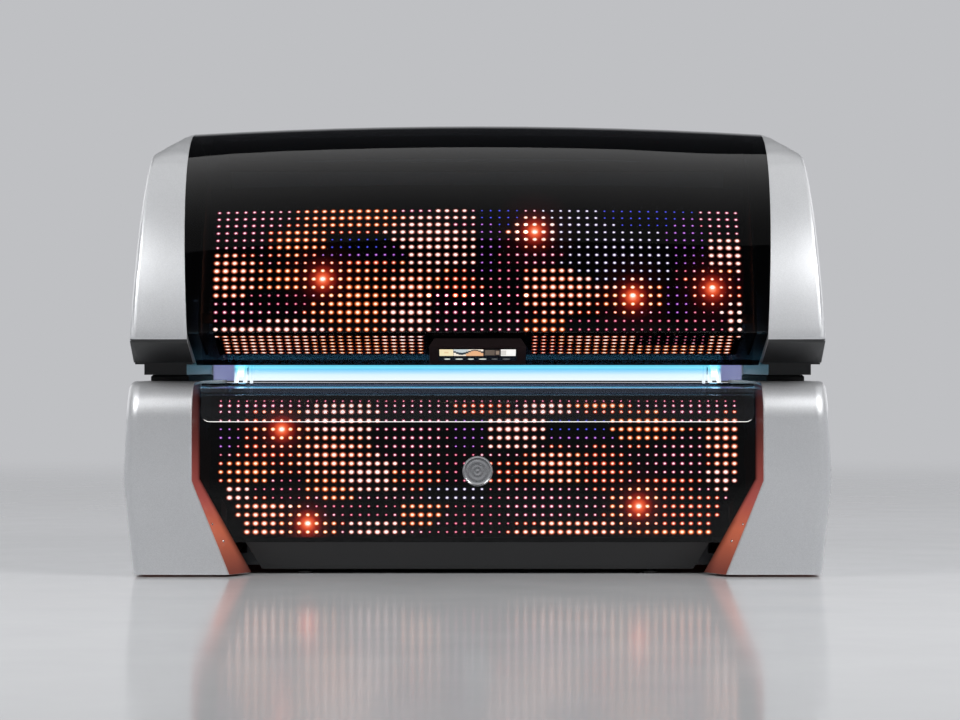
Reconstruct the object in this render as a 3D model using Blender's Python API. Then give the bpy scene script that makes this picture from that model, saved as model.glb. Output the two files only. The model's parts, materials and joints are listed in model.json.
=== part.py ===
"""Horizontal sunbed: a base with a lying trough and a hinged canopy, built as separate pieces.

Metres, +Z up. X runs along the bed, the user's side is -Y, the origin is on the floor under the middle.
Left is -X, as seen by someone standing in front of the bed.
"""
import bmesh
import bpy
from math import asin, cos, pi, radians, sin, sqrt, tan
from mathutils import Matrix, Vector

# Whole bed
BED_LENGTH = 2.412
BED_DEPTH = 1.4238
BED_HEIGHT = 1.5937         # to the top of the crowned shell
BASE_TOP = 0.667            # top of the base's end covers

# Gaps
FIT = 0.0003                # between pieces that seat on each other
SEAM = 0.0008               # along a seam between two skins
PIVOT_PLAY = 0.0005         # beside a hinge arm in its bracket

# Base covers
COVER_HALF = BED_LENGTH / 2     # half width at the knee
COVER_TOP_TAPER = 0.015     # how much narrower the covers are at the top
COVER_FOOT_TAPER = 0.029    # and at the floor
COVER_GAP = 0.008           # shadow gap over the floor
COVER_FRONT = 0.0519 - BED_DEPTH / 2
COVER_REAR = BED_DEPTH / 2 - 0.0919
COVER_WALL = 0.004
KNEE = 0.330                # height of the crease
KNEE_LEAN = 7.0             # degrees, how far the face below it leans back
SHOULDER = 0.130            # radius of the front's rounded top
COVER_EDGE = 0.016          # radius along the outer top edge
COVER_CORNER = 0.045        # radius of the outer upright corner
COVER_REAR_CORNER = 0.022
COVER_CHAMFER = 0.005       # along the inner front edge
COVER_FOLD = 0.018          # depth of the fold beside the front panel
COVER_FOLD_GAP = 0.002      # between the front panel's back and that fold
COVER_SLANT = 1.6           # wall across the slanted inner face, over the wall's thickness
COVER_WIDTH = 0.236         # of each cover, from its outer side to its inner front edge
COVER_INNER = COVER_HALF - COVER_WIDTH
INNER_SPLAY = 0.388         # how fast the inner edges run inwards below the knee

# Front of the base
PANEL_FACE = COVER_FRONT + 0.160
PANEL_WALL = 0.004
PANEL_HALF = COVER_INNER - 0.012    # half width between the covers beside the panel
PANEL_SPLAY = 0.553
PANEL_BOTTOM = 0.112
PANEL_TOP = BASE_TOP - 0.039
PANEL_ROUND = 0.065
PANEL_LIP = 0.010           # flat behind the rounded top
BOARD_WALL = 0.003          # circuit boards with the small lamps
BOARD_MARGIN = 0.040
BOARD_TURN = 5              # points of the panel's rounded top that the board follows
BOARD_POINTS = 13           # points of the shell's profile that it follows
BOARD_CHIN_SHARE = 0.3      # share of the chin that stays free of it
KICK_WALL = 0.003
KICK_FLANGE = 0.014         # height of the part behind the front panel
KICK_BACK = 0.057           # how far its foot stands back
KICK_BOTTOM = 0.016
KICK_MARGIN = 0.038
SHIELD_WALL = 0.004
SHIELD_TOP = PANEL_TOP + 0.025
SHIELD_HEIGHT = 0.127
SHIELD_BOTTOM = SHIELD_TOP - SHIELD_HEIGHT
SHIELD_CORNER = 0.030
SHIELD_MARGIN = 0.005
DISC_RADIUS = 0.0522
DISC_HEIGHT = 0.357
DISC_WALL = 0.008
DISC_GROOVE = 0.0015

# Feet and frame of the base
FOOT_RADIUS = 0.028
FOOT_PAD = 0.010
FOOT_STEM_RADIUS = 0.010
FRAME_BOTTOM = 0.030
TUBE = 0.040                # square tube of the base frame
FRAME_HALF = PANEL_HALF - 0.028     # half length of the base frame
FRAME_FRONT = PANEL_FACE + 0.070    # front of its bottom rail
FRAME_REAR = COVER_REAR - 0.040     # back of its rear rail
FOOT_X = FRAME_HALF - 0.330
POST_X = FRAME_HALF - 0.170         # inner side of the posts behind the front panel
POST_FOOT = 0.003                   # posts' lower end over the panel's lower edge
SHELF_FRONT = FRAME_REAR - 0.122    # front of the shelf that carries the trough's back edge
SHELF_RISE = 0.0046                 # shelf over the ends of the trough's arc
SHELF_NOTCH = 0.020                 # free space beside a gas spring

# Lying trough, its lamps and its reflector
TROUGH_HALF = -PANEL_FACE - 0.080   # half width across the trough
TROUGH_DEPTH = 0.160        # from the ends of its arc to its lowest line
TROUGH_RADIUS = (TROUGH_HALF ** 2 + TROUGH_DEPTH ** 2) / (2 * TROUGH_DEPTH)
TROUGH_RIM = PANEL_TOP + 0.0171     # height of the ends of its arc
TROUGH_LENGTH = 2 * PANEL_HALF - 0.006
TROUGH_CREST = 0.013        # rolled front edge over the ends of the arc
TROUGH_ROLL = 0.016
TROUGH_LIP = 0.045          # from the arc to the front of the roll
SHEET = 0.006               # clear acrylic
LAMP_COUNT = 9
LAMP_RADIUS = 0.019
LAMP_CAP = 0.035
LAMP_NECK = 0.94            # end caps' radius over the tube's
LAMP_SIDES = 10
LAMP_BEHIND = 0.045         # from the acrylic's inner face to the lamps' axes
REFLECTOR_BEHIND = 0.059    # from the lamps' axes to the bottom of the flutes
REFLECTOR_MARGIN = 0.022    # reach of the reflectors past the acrylic's arc
FLUTE = 0.034
REFLECTOR_WALL = 0.002
HOLDER_WALL = 0.006         # lampholder plates
HOLDER_MARGIN = 0.012
BENCH_HOLDER_X = FRAME_HALF - 0.024

# Inside and behind the base
PAN_WALL = 0.002
PAN_MARGIN = 0.003
BALLAST_LENGTH = 0.62
BALLAST_DEPTH = 0.26
BALLAST_HEIGHT = 0.095
BALLAST_X = -0.42
BALLAST_Y = 0.02
BALLAST_FINS = 9
FIN_SHARE = 0.2             # share of the ballast box's height that is fins
FAN_X = FRAME_HALF - 0.530
FAN_HEIGHT = 0.300
FAN_SIZE = 0.220
FAN_DEPTH = 0.060
FAN_BORE = 0.100
FAN_BLADES = 7
FAN_BLADE_WALL = 0.0025
FAN_HUB = 0.036
FAN_MOTOR_SHARE = 0.4       # share of the fan's depth that the motor takes
FAN_TIP_GAP = 0.004
FAN_ARM = 0.006             # half width of the arms that hold the motor
REAR_WALL = 0.003
REAR_BOTTOM = 0.012
AIR_SLOTS = 9
AIR_SLOT_PITCH = 0.024
AIR_SLOT_LENGTH = 0.200
AIR_SLOT_HEIGHT = 0.010
INLET_X = 0.210 - FRAME_HALF
INLET_HEIGHT = 0.17
INLET_RADIUS = 0.026
INLET_FLANGE = 0.006
INLET_LENGTH = 0.022

# Rests between base and canopy
REST_WIDTH = 0.130
REST_X = COVER_INNER + 0.025
REST_FRONT = COVER_FRONT + 0.160
REST_REAR = COVER_REAR - 0.170
REST_HEIGHT = 0.021
REST_EDGE = 0.006
SKIRT_WIDTH = 0.146
SKIRT_BLOCK = 0.036
SKIRT_PLATE = 0.006
SKIRT_INSET = 0.004
SKIRT_OVERHANG = 0.010      # of the skirt's block past the rest, front and back
SKIRT_OUT = 0.006           # of the skirt's block past the rest, outwards

# Heights of the canopy, stacked on the base
REST_SEAT = BASE_TOP + FIT
SKIRT_BOTTOM = REST_SEAT + REST_HEIGHT + FIT
CANOPY_FLOOR = SKIRT_BOTTOM + SKIRT_BLOCK + SKIRT_PLATE + FIT

# Canopy outline, seen from the side
CROWN = 0.030               # rise of the shell in the middle
CROWN_STATIONS = 13         # sections along the crowned sheets
CANOPY_AXIS_Z = CANOPY_FLOOR - 0.0022
CANOPY_RADIUS = 0.58646 * BED_DEPTH
CANOPY_TALL = BED_HEIGHT - CROWN - CANOPY_AXIS_Z     # that radius, stretched upwards
LIP_TILT = 4.983            # degrees, where the front reaches furthest out
CANOPY_AXIS_Y = CANOPY_RADIUS * cos(radians(LIP_TILT)) - BED_DEPTH / 2
CANOPY_REAR = BED_DEPTH / 2
CANOPY_TURN = 20.0          # degrees past the top where the tighter back begins
NOSE_RISE = 0.0987          # nose over the canopy's underside
NOSE_ROUND = 0.008
NOSE_ANGLE = asin((CANOPY_FLOOR + NOSE_RISE - CANOPY_AXIS_Z) / CANOPY_TALL)
CHIN_Y = -TROUGH_HALF - 0.0062
CHIN_DROP = 0.0090          # chin's end below the canopy's underside
CHIN_FLANGE = 0.020
SHELL_WALL = 0.004
SHELL_END = 100.0           # degrees, where the front shell meets the rear cover
REAR_DROP = 0.074           # rear cover's lower edge below the underside, so that it hides the hinge
REAR_TAB = 0.085            # width of the tab each side of it, under the end cover's back
REAR_TAB_CLEAR = 0.005      # from the tab's top to the canopy's underside
REAR_TAB_INSET = SHELL_WALL / 4     # of the tab from both faces of the cover
REAR_FLANGE = 0.016
REAR_FLANGE_RISE = 0.006    # of the flange towards its free edge
SEAM_HALF = COVER_INNER + 0.0057    # half width of the seam at the canopy's underside
SEAM_LEAN = 0.0577          # how far it leans out, per metre of height

# Canopy end covers
END_HALF = COVER_HALF - 0.0275      # outer half width at the canopy's underside
END_LEAN = -0.0438          # how far that side leans, per metre of height
END_WALL = 0.004
END_EDGE = 0.024            # radius between the front and the outer side
END_EDGE_FROM = 0.250       # height over the underside where that radius is whole
END_SLOPE = 0.088           # fall of the top towards the outer side
END_SLOPE_FROM = 0.070      # height over the underside where that fall begins
END_SLOPE_TO = 0.720        # and where it is whole
END_LIP = 0.072             # lip over the underside
END_LIP_ROUND = 0.020
END_UNDER_Y = COVER_FRONT + 0.110
END_REAR_Y = COVER_REAR + 0.040
END_REAR_RISE = 0.040

# Inside the canopy
CEILING_HALF = TROUGH_HALF - 0.001  # half width across the ceiling sheet's arc
CEILING_DROP = 0.0064       # ends of that arc below the canopy's underside
CEILING_RISE = 0.2557       # from those ends to the top of the arc
CEILING_RADIUS = (CEILING_HALF ** 2 + CEILING_RISE ** 2) / (2 * CEILING_RISE)
CEILING_AXIS_Z = CANOPY_FLOOR - CEILING_DROP + CEILING_RISE - CEILING_RADIUS
CEILING_LENGTH = 2 * PANEL_HALF
RIB_X = FRAME_HALF + 0.005
RIB_WALL = 0.008
BOARD_CLEAR = 0.002         # between the ribs and the lamp board's ends
RIB_CLEAR = 0.014           # rib over the chin and the canopy's underside
RAIL = 0.034
FRONT_RAIL_Y = 0.0919 - BED_DEPTH / 2
FRONT_RAIL_Z = CANOPY_FLOOR + 0.150
TOP_RAIL_Z = BED_HEIGHT - 0.155
REAR_RAIL_Y = FRAME_REAR
REAR_RAIL_Z = CANOPY_FLOOR + 0.092
REAR_SLOT_RISE = 0.130      # lowest air slot of the canopy over its underside
SEAM_TOP_HALF = SEAM_HALF + SEAM_LEAN * (BED_HEIGHT - CANOPY_FLOOR)
BOARD_REACH = (RIB_X - BOARD_CLEAR) / SEAM_TOP_HALF     # share of the width that the board covers

# Control pod
POD_START = 0.045           # along the chin, from the nose
POD_BEVEL = 0.023
POD_LENGTH = 0.190
POD_DEPTH = 0.022
POD_HALF_TOP = 0.147
POD_HALF = 0.166
SCREEN_HALF = 0.134
SCREEN_START = 0.085
SCREEN_LENGTH = 0.110
SCREEN_WALL = 0.002

# Hinge and gas springs
HINGE_Y = COVER_REAR - 0.020
HINGE_Z = BASE_TOP + 0.033
HINGE_X = FRAME_HALF - 0.030
HINGE_ARM = 0.024
HINGE_ARM_EYE = 0.023
HINGE_CHEEK = 0.009
HINGE_EYE = 0.026
PIN_RADIUS = 0.010
PIN_HEAD = 0.004
PIN_SIDES = 16
BRACKET_FOOT = 0.006
BRACKET_LENGTH = 0.094
SPRING_X = FRAME_HALF - 0.075
SPRING_FOOT_Y = FRAME_REAR - 0.120
SPRING_FOOT_Z = 0.250
SPRING_HEAD_Y = HINGE_Y - 0.095     # stud on the canopy
SPRING_HEAD_Z = HINGE_Z + 0.045
SPRING_EYE = 0.014
SPRING_EYE_HALF = 0.008
SPRING_STUD = 0.004
SPRING_PLAY = 0.005         # round the canopy's stud, where the linkage is open
SPRING_BODY = 0.014
SPRING_NECK = 0.007
SPRING_ROD = 0.006
SPRING_BODY_LENGTH = 0.320
SPRING_BORE_FROM = 0.060
SPRING_ROD_FROM = 0.200
SPRING_SIDES = 12
SPRING_MERGE = 0.002        # how far a spring's shaft runs into its eye
LUG_WALL = 0.008
LUG_HALF = 0.016

# Shared places
FRAME_FACE = PANEL_FACE + PANEL_WALL + BOARD_WALL + 2 * FIT
SHELF_TOP = TROUGH_RIM + SHELF_RISE
TROUGH_AXIS_Z = TROUGH_RIM - TROUGH_DEPTH + TROUGH_RADIUS
SIDES = (("left", -1), ("right", 1))


# Helpers for points in the side view, (y, z)

def tilt_point(centre, radius, angle):
    """Point of an arc; the angle is 0 at the front and 90 degrees at the top."""
    return (centre[0] - radius * cos(angle), centre[1] + radius * sin(angle))


def normals(points):
    """Outward normals of an outline that runs from the front, over the top, to the back."""
    result = []
    for i in range(len(points)):
        before = points[max(i - 1, 0)]
        here = points[i]
        after = points[min(i + 1, len(points) - 1)]
        total = Vector((0, 0))
        for a, b in ((before, here), (here, after)):
            step = Vector((b[0] - a[0], b[1] - a[1]))
            if step.length > 0:
                total += Vector((-step.y, step.x)).normalized()
        first = Vector((here[0] - before[0], here[1] - before[1]))
        direction = total.normalized()
        stretch = 1.0
        if first.length > 0:
            first_normal = Vector((-first.y, first.x)).normalized()
            stretch = 1.0 / max(direction.dot(first_normal), 0.4)
        result.append(direction * stretch)
    return result


def inset(points, distance):
    return [(p[0] - n.x * distance, p[1] - n.y * distance) for p, n in zip(points, normals(points))]


def fillet(before, corner, after, radius, steps):
    """Points of an arc that rounds a corner of an outline."""
    here = Vector(corner)
    to_before = (Vector(before) - here).normalized()
    to_after = (Vector(after) - here).normalized()
    half = to_before.angle(to_after) / 2
    middle = here + (to_before + to_after).normalized() * radius / sin(half)
    start = here + to_before * radius / tan(half) - middle
    end = here + to_after * radius / tan(half) - middle
    turn = start.angle_signed(end)
    points = []
    for i in range(steps + 1):
        spoke = start.copy()
        spoke.rotate(Matrix.Rotation(-turn * i / steps, 2))
        points.append(tuple(middle + spoke))
    return points


# Helpers for solids

def quads_between(bm, first, second, closed):
    count = len(first)
    for i in range(count if closed else count - 1):
        j = (i + 1) % count
        bm.faces.new((first[i], first[j], second[j], second[i]))


def loft(rings, cap=True):
    """Closed solid through equal rings of points."""
    bm = bmesh.new()
    loops = [[bm.verts.new(p) for p in ring] for ring in rings]
    for first, second in zip(loops, loops[1:]):
        quads_between(bm, first, second, True)
    if cap:
        bm.faces.new(loops[0])
        bm.faces.new(loops[-1])
    bmesh.ops.recalc_face_normals(bm, faces=bm.faces)
    return bm


def prism(outline, x0, x1):
    """Outline in the side view, drawn out along X."""
    return loft([[(x, p[0], p[1]) for p in outline] for x in (x0, x1)])


def block(x0, x1, y0, y1, z0, z1):
    return prism([(y0, z0), (y1, z0), (y1, z1), (y0, z1)], x0, x1)


def thick_sheet(outer, inner):
    """Closed solid between two equal grids of points."""
    bm = bmesh.new()
    sides = []
    for grid in (outer, inner):
        sides.append([[bm.verts.new(p) for p in row] for row in grid])
    for rows in sides:
        for first, second in zip(rows, rows[1:]):
            quads_between(bm, first, second, False)
    edges = []
    for rows in sides:
        around = list(rows[0])
        around += [row[-1] for row in rows[1:]]
        around += list(reversed(rows[-1][:-1]))
        around += [row[0] for row in reversed(rows[1:-1])]
        edges.append(around)
    quads_between(bm, edges[0], edges[1], True)
    bmesh.ops.recalc_face_normals(bm, faces=bm.faces)
    return bm


def drawn_sheet(profile, wall, half_width):
    """Bent sheet: a profile with its wall inwards, as wide as half_width(z) says."""
    grids = []
    for points in (profile, inset(profile, wall)):
        grids.append([[(side * half_width(o[1]), p[0], p[1]) for side in (-1, 1)]
                      for p, o in zip(points, profile)])
    return thick_sheet(grids[0], grids[1])


def turned(profile, centre, axis, sides):
    """Solid of revolution; the profile is (distance along the axis, radius), from pole to pole."""
    rotation = Vector((0, 0, 1)).rotation_difference(Vector(axis)).to_matrix()
    bm = bmesh.new()
    rings = []
    for along, radius in profile:
        if radius == 0:
            rings.append([bm.verts.new(rotation @ Vector((0, 0, along)) + Vector(centre))])
            continue
        ring = []
        for i in range(sides):
            angle = 2 * pi * i / sides
            point = Vector((radius * cos(angle), radius * sin(angle), along))
            ring.append(bm.verts.new(rotation @ point + Vector(centre)))
        rings.append(ring)
    for first, second in zip(rings, rings[1:]):
        for i in range(sides):
            j = (i + 1) % sides
            corners = []
            for corner in (first[i % len(first)], first[j % len(first)],
                           second[j % len(second)], second[i % len(second)]):
                if corner not in corners:
                    corners.append(corner)
            bm.faces.new(corners)
    bmesh.ops.recalc_face_normals(bm, faces=bm.faces)
    return bm


def rod(start, end, radius, sides):
    direction = Vector(end) - Vector(start)
    profile = [(0, 0), (0, radius), (direction.length, radius), (direction.length, 0)]
    return turned(profile, start, direction, sides)


def mirrored(bm, side):
    """The same solid for the left side."""
    if side < 0:
        for vertex in bm.verts:
            vertex.co.x = -vertex.co.x
        bmesh.ops.reverse_faces(bm, faces=bm.faces)
    return bm


def as_object(name, bm):
    mesh = bpy.data.meshes.new(name)
    bm.to_mesh(mesh)
    bm.free()
    obj = bpy.data.objects.new(name, mesh)
    bpy.context.scene.collection.objects.link(obj)
    return obj


def as_mesh(obj):
    """Mesh of an object with its modifiers applied."""
    bpy.context.view_layer.update()
    graph = bpy.context.evaluated_depsgraph_get()
    return bpy.data.meshes.new_from_object(obj.evaluated_get(graph))


def joined(first, others, operation="UNION"):
    """One solid from several, by Boolean; gives a bmesh back."""
    target = as_object("joined", first)
    tools = [as_object("tool", bm) for bm in others]
    for tool in tools:
        cut = target.modifiers.new("join", "BOOLEAN")
        cut.operation = operation
        cut.object = tool
    mesh = as_mesh(target)
    bm = bmesh.new()
    bm.from_mesh(mesh)
    bpy.data.meshes.remove(mesh)
    for obj in [target] + tools:
        bpy.data.objects.remove(obj)
    return bm


def material(name, colour, roughness, metallic=0.0, transmission=0.0):
    found = bpy.data.materials.get(name)
    if found:
        return found
    made = bpy.data.materials.new(name)
    made.use_nodes = True
    shader = made.node_tree.nodes["Principled BSDF"]
    shader.inputs["Base Color"].default_value = (*colour, 1.0)
    shader.inputs["Roughness"].default_value = roughness
    shader.inputs["Metallic"].default_value = metallic
    shader.inputs["Transmission Weight"].default_value = transmission
    made.diffuse_color = (*colour, 1.0)
    return made


def piece(name, bm, finish, parent, smooth_below=32.0):
    obj = as_object(name, bm)
    obj.data.materials.append(finish)
    obj.data.shade_smooth()
    obj.data.set_sharp_from_angle(angle=radians(smooth_below))
    obj.parent = parent
    obj.location = -parent.location
    return obj


def axis_empty(name, place):
    empty = bpy.data.objects.new(name, None)
    empty.location = place
    empty.empty_display_size = 0.05
    bpy.context.scene.collection.objects.link(empty)
    return empty


# Outlines of the base covers

def below_knee(z):
    return max(KNEE - z, 0.0)


def cover_front(z, wall):
    spring = BASE_TOP - SHOULDER
    if z > spring:
        return COVER_FRONT + SHOULDER - sqrt(max((SHOULDER - wall) ** 2 - (z - spring) ** 2, 0.0))
    return COVER_FRONT + wall + below_knee(z) * tan(radians(KNEE_LEAN))


def cover_outer(z, wall):
    if z < KNEE:
        return COVER_HALF - wall - COVER_FOOT_TAPER * below_knee(z) / (KNEE - COVER_GAP)
    half = COVER_HALF - COVER_TOP_TAPER * (z - KNEE) / (BASE_TOP - KNEE)
    edge = max(z - (BASE_TOP - COVER_EDGE), 0.0)
    return half - COVER_EDGE + sqrt(max((COVER_EDGE - wall) ** 2 - edge ** 2, 0.0))


def cover_inner(z):
    return COVER_INNER - below_knee(z) * INNER_SPLAY


def panel_half(z):
    return PANEL_HALF - below_knee(z) * PANEL_SPLAY


def cover_ring(z, wall):
    """Plan of the right cover at one height, from its inner front edge; wall moves it inwards."""
    front = cover_front(z, wall)
    outer = cover_outer(z, wall)
    rear = COVER_REAR - wall
    slant = COVER_SLANT * wall
    fold = PANEL_FACE + PANEL_WALL + COVER_FOLD_GAP - wall
    chamfer = COVER_CHAMFER - wall / 2
    points = [(cover_inner(z) + slant, front + chamfer), (cover_inner(z) + slant + chamfer, front)]
    points += fillet((0, front), (outer, front), (outer, 1), COVER_CORNER - wall, 5)
    points += fillet((outer, -1), (outer, rear), (0, rear), COVER_REAR_CORNER - wall, 2)
    points += [(PANEL_HALF + wall, rear), (PANEL_HALF + wall, fold + COVER_FOLD)]
    points += [(panel_half(z) + slant, fold)]
    return [(x, y, z) for x, y in points]


def base_cover_solid(side):
    """Thin-walled cover, open at the floor."""
    spring = BASE_TOP - SHOULDER
    bm = bmesh.new()
    rims = []
    for wall in (0.0, COVER_WALL):
        heights = [COVER_GAP, 0.55 * KNEE, 0.92 * KNEE, KNEE, (KNEE + spring) / 2]
        heights += [spring + (SHOULDER - wall) * sin(radians(a)) for a in (0, 16, 32, 46, 58, 68, 76, 83, 90)]
        rings = [[bm.verts.new(p) for p in cover_ring(z, wall)] for z in heights]
        for first, second in zip(rings, rings[1:]):
            quads_between(bm, first, second, True)
        bm.faces.new(rings[-1])
        rims.append(rings[0])
    quads_between(bm, rims[0], rims[1], True)
    bmesh.ops.recalc_face_normals(bm, faces=bm.faces)
    return mirrored(bm, side)


# Outlines of the canopy

def crown_at(share):
    """Rise of the shell at a share of its half width."""
    return CROWN * (1 - share ** 2)


def crown_share(angle):
    """Nothing at the nose, all of it at the top, nothing at the back."""
    return max((sin(angle) - sin(NOSE_ANGLE)) / (1 - sin(NOSE_ANGLE)), 0.0)


def stretched(point):
    """A point of the round outline, raised to the canopy's height."""
    return (point[0], CANOPY_AXIS_Z + (point[1] - CANOPY_AXIS_Z) * CANOPY_TALL / CANOPY_RADIUS)


def front_point(angle, crown):
    radius = CANOPY_RADIUS + crown * crown_share(angle)
    return stretched(tilt_point((CANOPY_AXIS_Y, CANOPY_AXIS_Z), radius, angle))


def back_centre():
    turn = radians(90 + CANOPY_TURN)
    corner = tilt_point((CANOPY_AXIS_Y, CANOPY_AXIS_Z), CANOPY_RADIUS, turn)
    radius = (CANOPY_REAR - corner[0]) / (1 + cos(turn))
    return tilt_point(corner, -radius, turn), radius


def back_point(angle, crown):
    centre, radius = back_centre()
    return stretched(tilt_point(centre, radius + crown * crown_share(angle), angle))


def front_arc(start, end, steps, crown):
    return [front_point(start + (end - start) * i / steps, crown) for i in range(steps + 1)]


def back_arc(steps, crown):
    start = radians(90 + CANOPY_TURN)
    return [back_point(start + (pi - start) * i / steps, crown) for i in range(steps + 1)]


def nose_point():
    return front_point(NOSE_ANGLE, 0.0)


def chin_end():
    return (CHIN_Y, CANOPY_FLOOR - CHIN_DROP)


def shell_profile(crown):
    """Front shell: the flange behind the chin, the chin, the nose and the front arc."""
    flange = (CHIN_Y, chin_end()[1] + CHIN_FLANGE)
    above = front_point(NOSE_ANGLE + 0.03, crown)
    points = [flange, chin_end()]
    points += fillet(chin_end(), nose_point(), above, NOSE_ROUND, 3)
    points += front_arc(NOSE_ANGLE + 0.06, radians(SHELL_END), 15, crown)
    return points


def rear_profile(crown):
    """Rear cover: from the seam on the top, down the back, to its lower flange."""
    bottom = CANOPY_FLOOR - REAR_DROP
    seam = radians(SHELL_END) + SEAM / CANOPY_RADIUS
    points = front_arc(seam, radians(90 + CANOPY_TURN), 1, crown)[:-1]
    points += back_arc(8, crown)
    points += [(CANOPY_REAR, bottom), (CANOPY_REAR - REAR_FLANGE, bottom + REAR_FLANGE_RISE)]
    return points


def seam_half(z):
    return SEAM_HALF + SEAM_LEAN * (z - CANOPY_FLOOR)


def end_half(z):
    return END_HALF + END_LEAN * (z - CANOPY_FLOOR)


def crowned_sheet(profile_of, wall, reach):
    """Sheet whose profile changes along X with the crown; reach is its share of the canopy's width."""
    grids = [[], []]
    for i in range(CROWN_STATIONS):
        share = reach * (2 * i / (CROWN_STATIONS - 1) - 1)
        outer = profile_of(crown_at(share))
        inner = inset(outer, wall)
        grids[0].append([(share * (seam_half(p[1]) - SEAM), p[0], p[1]) for p in outer])
        grids[1].append([(share * (seam_half(o[1]) - SEAM), p[0], p[1]) for p, o in zip(inner, outer)])
    return thick_sheet(grids[0], grids[1])


def end_profile():
    """Outline of an end cover at its seam, open along the underside."""
    under = (END_UNDER_Y, CANOPY_FLOOR)
    lip_angle = asin((CANOPY_FLOOR + END_LIP - CANOPY_AXIS_Z) / CANOPY_TALL)
    lip = front_point(lip_angle, 0.0)
    above = front_point(lip_angle + 0.05, 0.0)
    points = [under]
    points += fillet(under, lip, above, END_LIP_ROUND, 3)
    points += front_arc(lip_angle + 0.06, radians(90 + CANOPY_TURN), 15, 0.0)[:-1]
    points += back_arc(7, 0.0)
    points += [(CANOPY_REAR, CANOPY_FLOOR + END_REAR_RISE), (END_REAR_Y, CANOPY_FLOOR)]
    return points


def end_section(profile, along, rounding):
    """One section of an end cover; along is 0 at the seam and 1 at the outer side."""
    points = []
    for p, n in zip(profile, normals(profile)):
        rise = p[1] - CANOPY_FLOOR
        share = min(max((rise - END_SLOPE_FROM) / (END_SLOPE_TO - END_SLOPE_FROM), 0.0), 1.0)
        fall = END_SLOPE * share * along + rounding * min(rise / END_EDGE_FROM, 1.0)
        points.append((p[0] - n.x * fall, p[1] - n.y * fall))
    return points


def at_floor(end, before):
    """Where the line through two points meets the canopy's underside."""
    share = (CANOPY_FLOOR - before[1]) / (end[1] - before[1])
    return (before[0] + (end[0] - before[0]) * share, CANOPY_FLOOR)


def end_cover_solid(side):
    """Thin-walled cover, open along its underside."""
    flat_end = 1 - END_EDGE / (END_HALF - SEAM_HALF)
    steps = [(0.0, 0.0), (flat_end / 2, 0.0)]
    for angle in (0, 28, 52, 74, 90):
        a = radians(angle)
        steps.append((1 - (1 - flat_end) * (1 - sin(a)), END_EDGE * (1 - cos(a))))
    bm = bmesh.new()
    rims = []
    for wall in (0.0, END_WALL):
        profile = inset(end_profile(), wall)
        profile[0] = at_floor(profile[0], profile[1])
        profile[-1] = at_floor(profile[-1], profile[-2])
        sections = []
        for along, rounding in steps:
            row = []
            for y, z in end_section(profile, along, rounding):
                x0 = seam_half(z) + wall
                x1 = end_half(z) - wall
                row.append(bm.verts.new((x0 + along * (x1 - x0), y, z)))
            sections.append(row)
        for first, second in zip(sections, sections[1:]):
            quads_between(bm, first, second, False)
        bm.faces.new(sections[0])
        bm.faces.new(sections[-1])
        rims.append([row[0] for row in sections] + [row[-1] for row in reversed(sections)])
    quads_between(bm, rims[0], rims[1], True)
    bmesh.ops.recalc_face_normals(bm, faces=bm.faces)
    return mirrored(bm, side)


# Pieces of the base

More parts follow.
